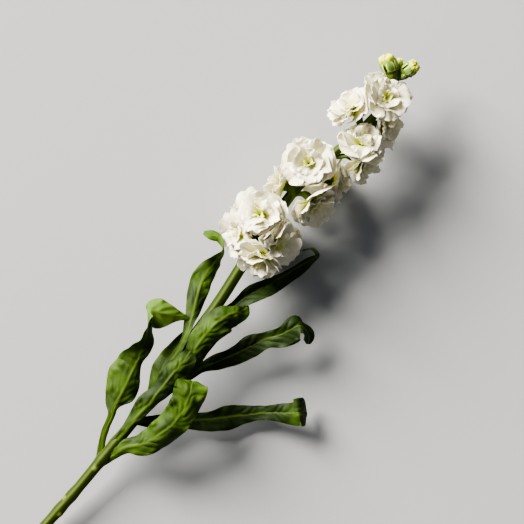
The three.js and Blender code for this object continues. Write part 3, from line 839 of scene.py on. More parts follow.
@dataclass
class Stem:
    """The main stem: a ribbed, tapering tube, swollen at its nodes and cut on a slant.

    Lengths are in millimetres. Ribs, lines and swells are in parts of the stem's radius, and a
    scar is its place along X and its turn round the stem in radians.
    """

    finish: bpy.types.Material
    rings: int = 420
    sides: int = 40
    ribs: int = 5
    rib: float = 0.03
    lines: int = 20
    line: float = 0.012
    line_turn: float = 0.6
    cut_slope: float = 0.6
    cut_rings: int = 6
    nodes: tuple[float, ...] = (-136, -124, -93, -80, -52)
    swell: float = 0.14
    node_length: float = 4.0
    scars: tuple[tuple[float, float], ...] = ((-138, 2.4), (-128, 0.5), (-100.5, 1.7))
    scar_height: float = 0.45
    scar_length: float = 1.6
    scar_turn: float = 0.5
    scar_pale: float = 0.9
    rib_pale: float = 0.36
    tip_pale: float = 0.3
    tip_start: float = 0.76
    tip_over: float = 0.08

    def skin(self) -> Skin:
        """The stem's skin.

        Each ring has radius x (1 + swells + rib x cos(5 x angle) + fine lines) plus the low humps
        of the leaf scars, square to the axis. The first rings slide along the axis with height,
        which gives the slanted cut. The tone is pale on ribs, scars, the tip and the cut.

        Returns:
            The skin.
        """
        t = np.linspace(0, 1, self.rings)
        rows = through(STEM_LINE, t)
        centres = rows[:, :3]
        axis = unit(np.gradient(centres, axis=0))
        side = unit(np.cross((0.0, 0.0, 1.0), axis))
        rise = np.cross(axis, side)
        angle = angles_round(self.sides)
        away = (rows[:, :1] - np.array(self.nodes)[None]) / self.node_length
        swell = self.swell * np.exp(-away**2).sum(1)
        crest = np.cos(self.ribs * angle)
        relief = self.rib * crest + self.line * np.cos(self.lines * angle + self.line_turn)
        radii = rows[:, 3:] * (1 + swell[:, None] + relief)
        scar = np.zeros_like(radii)
        for x, turn in self.scars:
            off = (angle - turn + math.pi) % (2 * math.pi) - math.pi
            along = (rows[:, :1] - x) / self.scar_length
            scar += np.exp(-along**4 - (off / self.scar_turn) ** 4)
        rings = tube_rings(centres, side, rise, radii + self.scar_height * scar)
        slide = self.cut_slope * (centres[0, 2] - rings[0, :, 2])
        fade = np.clip(1 - np.arange(self.rings) / self.cut_rings, 0, 1)
        rings += (fade[:, None, None] * slide[:, None]) * axis[0]
        stripe = self.rib_pale * ((crest + 1) / 2) ** 3
        fresh = self.tip_pale * np.clip((t - self.tip_start) / self.tip_over, 0, 1)[:, None]
        tone = np.clip(stripe + self.scar_pale * scar + fresh, 0, 1)
        tone[0] = 1.0
        skin = Skin()
        skin.add_tube(rings, {Value.ALONG: t[:, None], Value.ACROSS: 0.0, Value.TONE: tone})
        return skin

    def build(self) -> None:
        """Makes the piece."""
        self.skin().piece("stem", self.finish, Slot.LEAF, GREEN_NODE)


@dataclass
class Stalk:
    """A flower stalk that bends away from the stem and ends in a calyx with four sepals.

    The lip is the calyx wall past its mouth, from outside to inside: height in parts of a
    sepal's length, and how far it stands out from the cup in millimetres.
    """

    at: Array
    face: Array
    root: float
    cup: float
    sepal: float
    radius: float = 1.1
    wall: float = 0.4
    depth: float = 3.0
    straight: float = 0.6
    widens_from: float = 0.4
    widens_over: float = 0.45
    sepals: int = 4
    blunt: float = 0.8
    lip: tuple[tuple[float, float], ...] = (
        (0.35, 0.27), (0.7, 0.675), (1.0, 1.08), (0.98, 0.81), (0.6, 0.27), (0.2, -0.18),
    )
    green: float = 0.9
    tone: float = 0.3
    sides: int = 24
    rings: int = 26

    def add_to(self, skin: Skin) -> None:
        """Adds the stalk to a skin.

        Its path is a quadratic curve from the stem's axis to the calyx mouth. The radius goes
        smoothly from the stalk's to the cup's between 40% and 85% of the way. Past the mouth, the
        wall runs on as four pointed sepals, and comes back inside to the cup's floor. Their
        height follows |cos(2 x angle)|^0.8.

        Args:
            skin: The skin that gathers all stalks.
        """
        axis = unit(self.face)
        start = stem_at(self.root)[:3]
        bend = self.at - self.straight * float(np.linalg.norm(self.at - start)) * axis
        t = np.linspace(0, 1, self.rings)[:, None]
        path, tangent = bent_path(start, bend, self.at, t)
        side = unit(np.cross(tangent[0], tangent[-1]))
        rise = np.cross(tangent, side)
        ease = np.clip((t - self.widens_from) / self.widens_over, 0, 1)
        radius = self.radius + (self.cup - self.radius) * ease**2 * (3 - 2 * ease)
        radii = np.broadcast_to(radius, (self.rings, self.sides))
        body = tube_rings(path, np.broadcast_to(side, path.shape), rise, radii)
        angle = angles_round(self.sides)
        lobe = self.sepal * np.abs(np.cos(self.sepals / 2 * angle)) ** self.blunt
        spoke = side * np.cos(angle)[:, None] + rise[-1] * np.sin(angle)[:, None]
        height, flare = np.array(self.lip).T[:, :, None, None]
        lip = self.at + height * lobe[:, None] * axis + (self.cup + flare) * spoke
        floor = self.at - self.depth * axis + (self.cup - self.wall) * spoke
        rings = np.concatenate([body, lip, floor[None]])
        skin.add_tube(rings, {Value.ALONG: self.green, Value.ACROSS: 0.0, Value.TONE: self.tone})


# ---- Leaves ----------------------------------------------------------------------------


@dataclass
class Leaf:
    """A strap-shaped leaf with a pale midrib, side veins, a quilted blade and waved edges.

    Fields whose names end in _mm are millimetres. Narrow stretches of the blade have less wave and
    quilting: wave_full_mm and quilt_full_mm are the half widths from which they are whole. The
    puff and the droop are in parts of the half width, and droop_full is the slope in degrees from
    which the droop is whole.
    """

    name: str
    stations: Array
    finish: bpy.types.Material
    seed: int
    # The whole leaf's painted shade: 1 for the brightest, lower for a leaf painted deeper because it lies
    # in shade.
    painted_light: float
    rows: int = 150
    columns: int = 41
    least_half_mm: float = 0.8
    thickness_mm: float = 0.6
    rim_thinning: float = 0.45
    rib_thickness_mm: float = 0.9
    rib_foot_mm: float = 2.2
    rib_tip_mm: float = 0.6
    rib_core: float = 0.9
    rib_lift_mm: float = 0.2
    rib_lift_half_mm: float = 0.8
    puff: float = 0.03
    droop: float = 0.14
    droop_full: float = 6.0
    edge_wave_mm: float = 0.9
    edge_waves: float = 3.5
    wave_lag: float = 2.0
    wave_full_mm: float = 6.0
    quilt_full_mm: float = 9.0
    patch_mm: float = 13.0
    patch_lift_mm: float = 0.5
    wander_mm: float = 20.0
    vein_mm: float = 7.0
    vein_slant: float = 0.9
    vein_wander_mm: float = 3.0
    vein_round: float = 0.8
    cell_mm: float = 4.6
    cell_depth: float = 0.37
    cell_wander_mm: float = 2.0
    cushion_mm: float = 1.0
    cushion_inner: float = 0.6
    cushion_growth: float = 0.7
    inside_rise: float = 5.0
    inside_end: float = 1.05
    swell: float = 0.9
    swell_change: float = 0.8
    swell_limits: tuple[float, float] = (0.35, 1.7)
    ruffle_mm: float = 0.7
    ruffle_length_mm: float = 9.0
    ruffle_shift_mm: float = 30.0
    # cushion_painted_light paints light on the raised cushions and shade in the vein creases. The wander's
    # tone is random.
    tone: float = 0.41
    cushion_painted_light: float = 0.1
    wander_tone: float = 0.12
    usual_painted_light: float = 0.9

    def relief(self, length: Array, across: Array, width: Array) -> tuple[Array, Array]:
        """The blade's fine relief, and the tone that goes with it: painted light on the raised cushions,
        painted shade in the vein creases, a random wander and the leaf's painted shade.

        Side veins are the creases of |sin(pi x place / vein spacing)|^0.8, where place is the
        length less 0.9 x the distance from the midrib, so that they run forward, plus a wander.
        Between them the blade rises in cushions, in cells that follow a sine of the distance
        from the midrib. They are flat on the midrib and low at the edge, and slow noise makes
        some higher. Ruffles grow with the fourth power of the share towards the edge.

        Args:
            length: Length along the midrib, in millimetres.
            across: Place across, from -1 to 1.
            width: Width of the half blade, in millimetres.

        Returns:
            The height in millimetres, and the tone.
        """
        rng = np.random.default_rng(self.seed)
        share = np.abs(across)
        aside = share * width
        quilted = np.minimum(1, width / self.quilt_full_mm)
        patches = ripples(length, across * width, self.patch_mm, rng)
        wander = ripples(length, across * width, self.wander_mm, rng)
        place = length - self.vein_slant * aside + self.vein_wander_mm * wander
        vein = np.abs(np.sin(math.pi * place / self.vein_mm)) ** self.vein_round
        row = np.sin(math.pi * (aside + self.cell_wander_mm * patches) / self.cell_mm)
        cell = 1 - self.cell_depth + self.cell_depth * row
        inside = np.clip(self.inside_rise * share * (self.inside_end - share), 0, 1)
        growth = self.cushion_inner + self.cushion_growth * share
        cushion = vein * cell * inside * growth * quilted
        swell = np.clip(self.swell + self.swell_change * patches, *self.swell_limits)
        lift = self.cushion_mm * cushion * swell + self.patch_lift_mm * patches * quilted * share
        edge = self.ruffle_shift_mm * np.where(across > 0, 1.0, -1.0)
        wide = np.minimum(1, width / self.wave_full_mm)
        ruffle = share**4 * wide * ripples(length, edge, self.ruffle_length_mm, rng)
        # Painted light on the cushions and painted shade in the vein creases, plus a random wander.
        tone = np.clip(self.tone + self.cushion_painted_light * cushion + self.wander_tone * wander, 0, 1)
        # The leaf's painted shade: painted_light less usual_painted_light shifts the whole leaf's tone.
        return lift + self.ruffle_mm * ruffle, tone + self.painted_light - self.usual_painted_light

    def grid(self) -> tuple[Array, dict[Value, Array]]:
        """The blade's middle surface and its material's numbers.

        A point is the midrib's point + share x width along its half blade, which is tilted by
        the rise plus or minus the roll. share runs from 0 at the midrib to 1 at the edge. Square
        to the half blade it is moved by the half blade's bulge, 4 share (1 - share), its droop
        where it slopes down, the edge's waves, the fine relief and the midrib's low ridge.

        Returns:
            The points, and the values for each kind.
        """
        t, across = places_on(self.rows, self.columns)
        rows = through(self.stations, t[:, 0])
        middle = rows[:, :3]
        step = 1e-3
        ahead = through(self.stations, np.minimum(t[:, 0] + step, 1))[:, :3]
        behind = through(self.stations, np.maximum(t[:, 0] - step, 0))[:, :3]
        axis = unit(ahead - behind)
        sideways = unit(np.stack([-axis[:, 1], axis[:, 0], np.zeros(self.rows)], -1))
        up = np.cross(axis, sideways)
        share = np.abs(across)
        left = across > 0
        sign = np.where(left, 1.0, -1.0)
        width = np.maximum(np.where(left, rows[:, 3:4], rows[:, 4:5]), self.least_half_mm)
        tilt = np.radians(rows[:, 6:7] + sign * rows[:, 5:6])
        cosine, sine = np.cos(tilt)[..., None], np.sin(tilt)[..., None]
        flat, sign = sideways[:, None], sign[..., None]
        outward = flat * sign * cosine + up[:, None] * sine
        square = up[:, None] * cosine - flat * sign * sine
        steps = np.linalg.norm(np.diff(middle, axis=0), axis=1)
        length = np.concatenate([[0], steps.cumsum()])[:, None]
        wide = np.minimum(1, width / self.wave_full_mm)
        bulge = self.puff * width * 4 * share * (1 - share) * (1 - t**8)
        droop = self.droop * width * share**2 * np.clip(-rows[:, 6:7] / self.droop_full, 0, 1)
        turns = 2 * math.pi * self.edge_waves * t + np.where(left, 0, self.wave_lag)
        wave = self.edge_wave_mm * share**2 * wide * np.sin(turns)
        relief, tone = self.relief(length, across, width)
        ridge = self.rib_lift_mm * np.exp(-((share * width / self.rib_lift_half_mm) ** 2)) * wide
        offset = bulge - droop + wave + relief + ridge
        points = middle[:, None] + outward * (width * share)[..., None] + square * offset[..., None]
        rib_half = self.rib_tip_mm + (self.rib_foot_mm - self.rib_tip_mm) * (1 - t)
        return points, {Value.ALONG: t, Value.ACROSS: across * width / rib_half, Value.TONE: tone}

    def build(self) -> None:
        """Makes the piece. Its rim is thin, and it is thicker along the midrib's foot."""
        points, values = self.grid()
        rim = places_on(self.rows, self.columns)[1] ** 8
        rib = np.exp(-((values[Value.ACROSS] / self.rib_core) ** 2))
        thickness = self.thickness_mm * (1 - self.rim_thinning * rim)
        thickness = thickness + self.rib_thickness_mm * rib * (1 - values[Value.ALONG])
        skin = Skin()
        skin.add_sheet(points, thickness, values)
        skin.piece(f"leaf_{self.name}", self.finish, Slot.LEAF, GREEN_NODE)


# ---- Florets ---------------------------------------------------------------------------


@dataclass(frozen=True)
class Layer:
    """One layer of petals.

    Its path runs from root to tip as distance from the floret's axis and height above the
    calyx. The path, the half width and the ruffles are in parts of the floret's radius. The
    colour reach is how far from green to white its colour gets at the tip.
    """

    petals: int
    path: tuple[tuple[float, float], ...]
    half_width: float
    ruffle: float
    curl: tuple[float, float]
    colour_reach: float = 1.0


LAYERS = (
    Layer(5, ((0.1, 0.06), (0.6, 0.14), (1.12, 0.06)), 0.6, 0.09, (-0.18, 0.12)),
    Layer(5, ((0.1, 0.12), (0.52, 0.34), (0.98, 0.3)), 0.58, 0.1, (-0.18, 0.14)),
    Layer(4, ((0.1, 0.18), (0.38, 0.5), (0.76, 0.56)), 0.56, 0.12, (-0.2, 0.12)),
    Layer(3, ((0.08, 0.22), (0.22, 0.54), (0.48, 0.68)), 0.42, 0.12, (-0.16, 0.08), 0.9),
    Layer(3, ((0.03, 0.2), (0.08, 0.38), (0.22, 0.56)), 0.2, 0.07, (-0.02, 0.06), 0.5),
)


@dataclass(frozen=True)
class Habit:
    """How petals grow, and how far one differs from the next.

    A pair holds the ends of an even random draw. Lengths are in parts of the floret's radius,
    turns in radians, and lobes, ruffles, folds and fine ruffles in half waves over half a petal.
    """

    turn: tuple[float, float] = (-0.4, 0.4)
    reach: tuple[float, float] = (0.76, 1.12)
    rise: tuple[float, float] = (-0.08, 0.1)
    bend: tuple[float, float] = (-0.07, 0.07)
    lobe_depth: tuple[float, float] = (0.04, 0.11)
    lobes: tuple[float, float] = (1.2, 2)
    lobe_shift: tuple[float, float] = (-0.4, 0.4)
    corner: tuple[float, float] = (0.26, 0.42)
    corner_power: tuple[float, float] = (2, 3.4)
    width: tuple[float, float] = (0.78, 1.2)
    ruffles: tuple[float, float] = (0.8, 1.5)
    folds: tuple[float, float] = (1, 1.6)
    fine: tuple[float, float] = (5, 7)
    cup: tuple[float, float] = (-0.02, 0.14)
    lean: tuple[float, float] = (0.1, 0.32)
    tip_short: float = 0.1
    foot_width: float = 0.16
    widens: float = 1.15
    widens_power: float = 1.4
    ruffle_power: float = 1.8
    fold_share: float = 0.8
    fold_level: float = 0.6
    fold_twist: float = 1.5
    fine_share: float = 0.25
    sway: float = 0.025
    sway_turns: float = 5.0


@dataclass
class Floret:
    """A double floret: petals in layers that give way to the neighbours they touch.

    The seat is the calyx mouth's distance below the middle and the sepal its sepals' length, both
    in parts of the radius. give_mm is how far each petal may stop short of a neighbour's wall or
    pass it, and rest_mm how far a resting floret's petals may push below the surface before they
    are laid down on it.
    """

    number: int
    at: Array
    face: Array
    size: float
    root: float
    rests: bool
    finish: bpy.types.Material
    habit: Habit = Habit()
    seat: float = 0.45
    cup_mm: float = 2.6
    sepal: float = 0.16
    free: float = 0.72
    give_mm: tuple[float, float] = (-1.2, 2.6)
    rest_mm: float = 5.0
    stem_room: float = 1.05
    thickness_mm: float = 0.28
    first_seed: int = 100
    rows: int = 19
    columns: int = 22

    @property
    def axis(self) -> Array:
        """The way the floret faces."""
        return unit(self.face)

    def stalk(self) -> Stalk:
        """Its stalk, whose calyx mouth is the floret's foot."""
        foot = self.at - self.seat * self.size * self.axis
        return Stalk(foot, self.face, self.root, self.cup_mm, self.sepal * self.size)

    def walls(self, others: list[tuple[Array, float]]) -> tuple[list[Wall], list[Wall]]:
        """The flat walls it gives way to, as a direction and how far the wall is.

        Args:
            others: Middle and radius of each neighbour.

        Returns:
            The walls towards the neighbours, and those towards the stem, its own calyx and the
            surface.
        """
        half = BLADE / 2
        near = []
        for middle, size in others:
            way = middle - self.at
            span = float(np.linalg.norm(way))
            near.append((way / span, span * self.size / (self.size + size) - GAP / 2 - half))
        stem = stem_at(self.at[0])
        way = stem[:3] - self.at
        span = float(np.linalg.norm(way))
        below = self.at[2] + self.rest_mm if self.rests else self.at[2] - 2 * GAP - half
        return near, [
            (way / span, span - stem[3] * self.stem_room - GAP - half),
            (-self.axis, self.seat * self.size - GAP - half),
            (np.array((0.0, 0.0, -1.0)), below),
        ]

    def settle(self, points: Array, walls: list[Wall]) -> Array:
        """Points pressed in so that none passes a wall.

        Up to the free share of the way a point stays. Past it, the rest of the way is taken
        ever more slowly: 1 - exp(-(depth - free) / room), times the room that is left.

        Args:
            points: Points relative to the floret's middle.
            walls: Directions and distances.

        Returns:
            The moved points.
        """
        for normal, reach in walls:
            depth = points @ normal
            free = self.free * reach
            room = reach - free
            pressed = free + room * (1 - np.exp(-np.maximum(depth - free, 0) / room))
            shift = np.where(depth > free, pressed - depth, 0)
            points = points + shift[..., None] * normal
        return points

    def petal(self, layer: Layer, turn: float, rng: np.random.Generator) -> Array:
        """One petal's middle surface, before it gives way.

        Its spine is a quadratic curve in the plane of the axis. It is narrow at the root and
        widest near the tip, where rounding shortens its corners and pointed lobes lengthen it.
        Square to the spine come the cupping across it, the curl of its tip, its lean over the
        next petal, and waves, creased folds and fine ruffles that grow towards the rim.

        Args:
            layer: The layer it belongs to.
            turn: Its turn about the axis, in radians.
            rng: Where its differences are drawn from.

        Returns:
            Rows of points from root to tip, relative to the floret's middle, in millimetres.
        """
        habit = self.habit
        t, across = places_on(self.rows, self.columns)
        root, bend, tip = (np.array(p) for p in layer.path)
        tip = tip * rng.uniform(*habit.reach) + (0, rng.uniform(*habit.rise))
        bend = bend + rng.uniform(*habit.bend, 2)
        lobe_depth = rng.uniform(*habit.lobe_depth)
        lobe_turns = rng.uniform(*habit.lobes) * math.pi
        lobes = lobe_depth * np.abs(np.sin(lobe_turns * (across - rng.uniform(*habit.lobe_shift))))
        corners = rng.uniform(*habit.corner) * np.abs(across) ** rng.uniform(*habit.corner_power)
        s = t * (1 - t * (corners + habit.tip_short - lobes))
        spine, slope = bent_path(root, bend, tip, s[..., None])
        square = np.stack([-slope[..., 1], slope[..., 0]], -1)
        width = layer.half_width * rng.uniform(*habit.width)
        opening = np.sin(0.5 * math.pi * np.minimum(1, habit.widens * t)) ** habit.widens_power
        width = width * (habit.foot_width + (1 - habit.foot_width) * opening)
        phase = rng.uniform(0, 2 * math.pi, 4)
        ruffle = np.sin(rng.uniform(*habit.ruffles) * math.pi * across + phase[0])
        crease = rng.uniform(*habit.folds) * math.pi * across + phase[1] + habit.fold_twist * t
        ruffle = ruffle + habit.fold_share * (np.abs(np.sin(crease)) - habit.fold_level)
        fine = habit.fine_share * t**4 * np.sin(rng.uniform(*habit.fine) * math.pi * across + phase[2])
        offset = layer.ruffle * (t**habit.ruffle_power * ruffle + fine)
        offset = offset + rng.uniform(*layer.curl) * t**3 + rng.uniform(*habit.cup) * across**2 * t
        offset = offset + rng.uniform(*habit.lean) * across * width
        offset = offset + habit.sway * t * np.sin(habit.sway_turns * t + phase[3])
        place = spine + square * offset[..., None]
        side, rise = cross_of(self.axis)
        outward = side * math.cos(turn) + rise * math.sin(turn)
        aside = np.cross(self.axis, outward)
        local = place[..., :1] * outward + (across * width)[..., None] * aside
        return (local + place[..., 1:] * self.axis - self.seat * self.axis) * self.size

    def build(self, others: list[tuple[Array, float]]) -> None:
        """Makes the piece. Each layer's petals stand half a step from those of the one before.

        Args:
            others: Middle and radius of each neighbour.
        """
        rng = np.random.default_rng(self.first_seed + self.number)
        near, firm = self.walls(others)
        t, across = places_on(self.rows, self.columns)
        skin = Skin()
        for level, layer in enumerate(LAYERS):
            values = {Value.ALONG: t * layer.colour_reach, Value.ACROSS: across, Value.TONE: 0.5}
            for k in range(layer.petals):
                turn = 2 * math.pi * (k + 0.5 * level) / layer.petals
                turn += rng.uniform(*self.habit.turn)
                walls = [(way, reach + rng.uniform(*self.give_mm)) for way, reach in near]
                grid = self.settle(self.petal(layer, turn, rng), walls + firm) + self.at
                skin.add_sheet(laid_down(grid), self.thickness_mm, values)
        node = f"floret_{self.number:02d}"
        skin.piece(f"petals_{self.number:02d}", self.finish, Slot.PETAL, node)


# ---- Buds ------------------------------------------------------------------------------


@dataclass
class Bud:
    """A bud: folded petals with frilled tips that stand out of long pale-edged sepals.

    Profiles are radii from foot to tip in parts of the bud's radius. A whorl is its number of
    petals and its radius and height in parts of the bud's. Spreads and turns are in radians, and
    the seed steps give each sheet of a bud a seed of its own.
    """

    number: int
    at: Array
    face: Array
    size: float
    length: float
    finish: bpy.types.Material
    root: float = 207.0
    petal_profile: tuple[float, ...] = (0.6, 0.88, 1.0, 1.0, 0.86, 0.34)
    sepal_profile: tuple[float, ...] = (1.0, 1.12, 1.14, 1.06, 0.96, 0.98)
    whorls: tuple[tuple[int, float, float], ...] = ((5, 0.94, 1.0), (4, 0.66, 0.98), (3, 0.36, 0.92))
    petal_spread: float = 3.9
    petal_mm: float = 0.3
    petal_seed_step: int = 10
    whorl_seed_step: int = 5
    sepals: int = 5
    sepal_reach: float = 0.74
    sepal_turn: float = 0.4
    sepal_spread: float = 0.62
    sepal_point: float = 0.8
    sepal_point_power: float = 2.5
    sepal_mm: float = 0.35
    sepal_seed: int = 40
    sepal_seed_step: int = 7
    foot_spread: float = 0.8
    overlap: float = 0.07
    corner: float = 0.14
    frill_turns: tuple[float, float] = (6, 9)
    frill_phase: tuple[float, float] = (0, 6)
    frill_out: float = 0.1
    frill_up: float = 0.07
    calyx_sepal_mm: float = 0.5
    calyx_tone: float = 0.8
    rows: int = 16
    columns: int = 15

    def stalk(self) -> Stalk:
        """Its stalk, as wide as the bud at the mouth."""
        cup = self.size
        return Stalk(self.at, self.face, self.root, cup, self.calyx_sepal_mm, tone=self.calyx_tone)

    def wrap(self, turn: float, spread: float, radii: Array, top: float, seed: int) -> Array:
        """A sheet wrapped round the bud's axis.

        Height is sin(t quarter turns) x top, less at the sheet's sides, plus a frill at the tip,
        so that a sheet whose radius falls at its end closes over the bud like a dome. The radius
        follows the profile over t, with one edge lifted over the next sheet, and the angle is
        turn + across x spread, narrowing to the foot.

        Args:
            turn: The angle of the sheet's middle.
            spread: Half the angle that it covers.
            radii: The radius at even steps of its height, in millimetres.
            top: The height of its tip, in millimetres.
            seed: Where its frill is drawn from.

        Returns:
            Rows of points from foot to tip.
        """
        rng = np.random.default_rng(seed)
        t, across = places_on(self.rows, self.columns)
        frill = rng.uniform(*self.frill_turns) * across + rng.uniform(*self.frill_phase)
        frill = t**3 * np.sin(frill)
        radius = through(radii[:, None], t[:, 0])
        radius = radius * (1 + self.overlap * across + self.frill_out * frill)
        height = np.sin(0.5 * math.pi * t) * top * (1 - self.corner * across**2 * t)
        height = height + self.frill_up * top * frill
        angle = turn + across * spread * (self.foot_spread + (1 - self.foot_spread) * t)
        axis = unit(self.face)
        side, rise = cross_of(axis)
        spoke = np.cos(angle)[..., None] * side + np.sin(angle)[..., None] * rise
        return self.at + radius[..., None] * spoke + height[..., None] * axis

    def add_sheet(self, skin: Skin, grid: Array, thickness: float) -> None:
        """Adds one sheet of the bud with its material's numbers."""
        t, across = places_on(self.rows, self.columns)
        skin.add_sheet(grid, thickness, {Value.ALONG: t, Value.ACROSS: across, Value.TONE: 0.5})

    def add_sepals(self, skin: Skin) -> None:
        """Adds the sepals to the skin that gathers them.

        Each narrows to 1 - 0.8 x t^2.5 of its width, so that it ends in a point.

        Args:
            skin: The skin of all sepals.
        """
        radii = self.size * np.array(self.sepal_profile)
        top = self.sepal_reach * self.length
        t = places_on(self.rows, self.columns)[0][..., None]
        for k in range(self.sepals):
            turn = 2 * math.pi * k / self.sepals + self.sepal_turn
            seed = self.sepal_seed + self.sepal_seed_step * self.number + k
            grid = self.wrap(turn, self.sepal_spread, radii, top, seed)
            middle = grid[:, self.columns // 2][:, None]
            narrow = 1 - self.sepal_point * t**self.sepal_point_power
            self.add_sheet(skin, middle + (grid - middle) * narrow, self.sepal_mm)

    def build(self) -> None:
        """Makes the petals' piece: whorls of sheets, each whorl inside the one before."""
        skin = Skin()
        radii = self.size * np.array(self.petal_profile)
        for level, (count, share, top) in enumerate(self.whorls):
            for k in range(count):
                turn = 2 * math.pi * (k + 0.5 * level) / count
                seed = self.petal_seed_step * self.number + self.whorl_seed_step * level + k
                height = top * self.length
                grid = self.wrap(turn, self.petal_spread / count, radii * share, height, seed)
                self.add_sheet(skin, grid, self.petal_mm)
        node = f"bud_petals_{self.number:02d}"
        skin.piece(f"bud_{self.number:02d}", self.finish, Slot.BUD, node)


@dataclass
class TipBud(Bud):
    """A small green bud that its sepals close. It has no stalk or petals of its own to show."""

    sepal_profile: tuple[float, ...] = (0.9, 1.05, 1.0, 0.8, 0.5, 0.2)
    sepal_reach: float = 1.0


# The number of the first tip bud, past those of the large ones.
FIRST_TIP_BUD = 10

# Small closed green buds between the large ones: foot, way it points, radius, length.
TIP_BUDS = (
    ((218.5, 28.5, 31.5), (0.6, 0.5, 0.6), 1.5, 5.0),
    ((220.5, 24.6, 30.5), (0.9, -0.1, 0.4), 1.5, 5.5),
    ((214.5, 29.5, 34), (0.4, 0.3, 0.85), 1.4, 4.5),
    ((217.5, 24.8, 33.5), (0.5, -0.3, 0.8), 1.3, 4.5),
    ((213, 23, 31.5), (0.6, -0.7, 0.4), 1.2, 4.5),
)


# ---- Studio ----------------------------------------------------------------------------


@dataclass(frozen=True)
class Lamp:
    """A square soft light that points at the aim.

    Its place is how far to the right, up and towards the viewer it stands from the aim, in metres.
    Its size is in metres and its power in watts.
    """

    name: str
    place: tuple[float, float, float]
    size: float
    power: float
    colour: str


LAMPS = (
    Lamp("key", (-3.45, 3.3, 2.5), 3.0, 1755, "#fff8ec"),
    Lamp("fill", (0.1, -0.2, 2.4), 1.8, 5, "#fbfbff"),
)


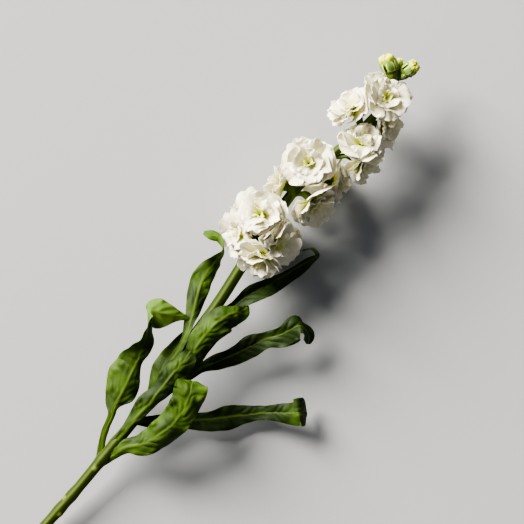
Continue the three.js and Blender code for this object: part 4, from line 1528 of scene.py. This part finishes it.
@dataclass
class Studio:
    """A pale floor, soft light from the upper left and a camera that looks straight down.

    Distances are in metres, and the lens's sensor in millimetres. The wall lights the flower
    dimly, and the camera sees it pale past the floor's end.
    """

    view_mm: float = 335.4
    aim_mm: tuple[float, float, float] = (72.5, 22.7, 26.0)
    roll: float = math.radians(-51.5)
    distance: float = 3.0
    sensor: float = 36.0
    sight: float = 60.0
    floor_half: float = 15.0
    wall: str = "#d9dadb"
    wall_light: float = 0.12
    wall_seen: float = 1.0
    look: str = "AgX - Medium High Contrast"

    def picture(self, right: float, up: float, towards: float) -> Array:
        """A place given from the aim in the picture's own directions.

        Args:
            right: How far to the right, in metres.
            up: How far up the picture.
            towards: How far towards the viewer.

        Returns:
            The place in the frame, in metres.
        """
        x = right * math.cos(self.roll) - up * math.sin(self.roll)
        y = right * math.sin(self.roll) + up * math.cos(self.roll)
        return np.array(self.aim_mm) * MM + np.array((x, y, towards))

    def camera(self) -> None:
        """Sets the camera. Its lens makes the view's width at the aim equal to view_mm."""
        lens = bpy.data.cameras.new("camera")
        lens.sensor_width = self.sensor
        lens.lens = self.sensor * self.distance / (self.view_mm * MM)
        lens.clip_end = self.sight
        camera = bpy.data.objects.new("camera", lens)
        place = self.picture(0, 0, self.distance)
        camera.matrix_world = Matrix.Translation(place) @ Matrix.Rotation(self.roll, 4, "Z")
        bpy.context.scene.collection.objects.link(camera)
        bpy.context.scene.camera = camera

    def light(self, lamp: Lamp) -> None:
        """Adds a lamp, turned so that its Z axis runs from the aim to it.

        Args:
            lamp: The lamp.
        """
        light = bpy.data.lights.new(lamp.name, "AREA")
        light.size = lamp.size
        light.energy = lamp.power
        light.color = linear(lamp.colour)[:3]
        place = self.picture(*lamp.place)
        axis = unit(place - np.array(self.aim_mm) * MM)
        turned = Matrix(np.column_stack([*cross_of(axis), axis]).tolist()).to_4x4()
        hung = bpy.data.objects.new(lamp.name, light)
        hung.matrix_world = Matrix.Translation(place) @ turned
        hung.visible_camera = False
        bpy.context.scene.collection.objects.link(hung)

    def floor(self) -> None:
        """Lays the floor."""
        half = self.floor_half
        mesh = bpy.data.meshes.new("floor")
        corners = [(-half, -half, 0), (half, -half, 0), (half, half, 0), (-half, half, 0)]
        mesh.from_pydata(corners, [], [(0, 1, 2, 3)])
        mesh.materials.append(FloorFinish().make())
        floor = bpy.data.objects.new("floor", mesh)
        bpy.context.scene.collection.objects.link(floor)

    def walls(self) -> None:
        """Sets the world: dim light from all round, seen by the camera as a pale wall."""
        world = bpy.data.worlds.new("studio")
        world.use_nodes = True
        tree = world.node_tree
        dim = tree.nodes["Background"]
        dim.inputs["Color"].default_value = linear(self.wall)
        dim.inputs["Strength"].default_value = self.wall_light
        pale = add_node(tree, "ShaderNodeBackground", {
            "Color": linear(self.wall), "Strength": self.wall_seen,
        })
        ray = add_node(tree, "ShaderNodeLightPath")
        both = add_node(tree, "ShaderNodeMixShader", {
            0: ray.outputs["Is Camera Ray"], 1: dim.outputs[0], 2: pale.outputs[0],
        })
        tree.links.new(both.outputs[0], tree.nodes["World Output"].inputs["Surface"])
        bpy.context.scene.world = world

    def build(self) -> None:
        """Sets up the floor, the light and the camera."""
        self.floor()
        self.camera()
        for lamp in LAMPS:
            self.light(lamp)
        self.walls()
        bpy.context.scene.view_settings.look = self.look


def main() -> None:
    """Builds every sub-assembly."""
    logging.basicConfig(level=logging.INFO, format="%(name)s: %(message)s")
    stem_finish = StemFinish().make()
    leaf_finish = LeafFinish().make()
    petal_finish = PetalFinish().make()
    bud_finish = BudFinish().make()
    sepal_finish = SepalFinish().make()

    Stem(stem_finish).build()
    florets = [
        Floret(i + 1, np.array(at, float), np.array(face, float), size, root, rests, petal_finish)
        for i, (at, face, size, root, rests) in enumerate(FLORET_PLACES)
    ]
    buds = [
        Bud(i + 1, np.array(at, float), np.array(face, float), size, length, bud_finish, root)
        for i, (at, face, size, length, root) in enumerate(BUD_PLACES)
    ]
    tip_buds = [
        TipBud(FIRST_TIP_BUD + i, np.array(at, float), np.array(face, float), size, length, bud_finish)
        for i, (at, face, size, length) in enumerate(TIP_BUDS)
    ]
    stalks = Skin()
    for flower in florets + buds:
        flower.stalk().add_to(stalks)
    stalks.piece("flower_stalks", stem_finish, Slot.LEAF, GREEN_NODE)
    sepals = Skin()
    for bud in buds + tip_buds:
        bud.add_sepals(sepals)
    sepals.piece("bud_sepals", sepal_finish, Slot.LEAF, GREEN_NODE)

    for seed, (name, stations) in enumerate(LEAF_LINES.items()):
        Leaf(name, np.array(stations, float), leaf_finish, seed, LEAF_PAINTED_LIGHT[name]).build()
    around = [(flower.at, flower.size) for flower in florets + buds]
    for i, floret in enumerate(florets):
        floret.build(around[:i] + around[i + 1:])
    for bud in buds:
        bud.build()
    Studio().build()


if __name__ == "__main__":
    main()
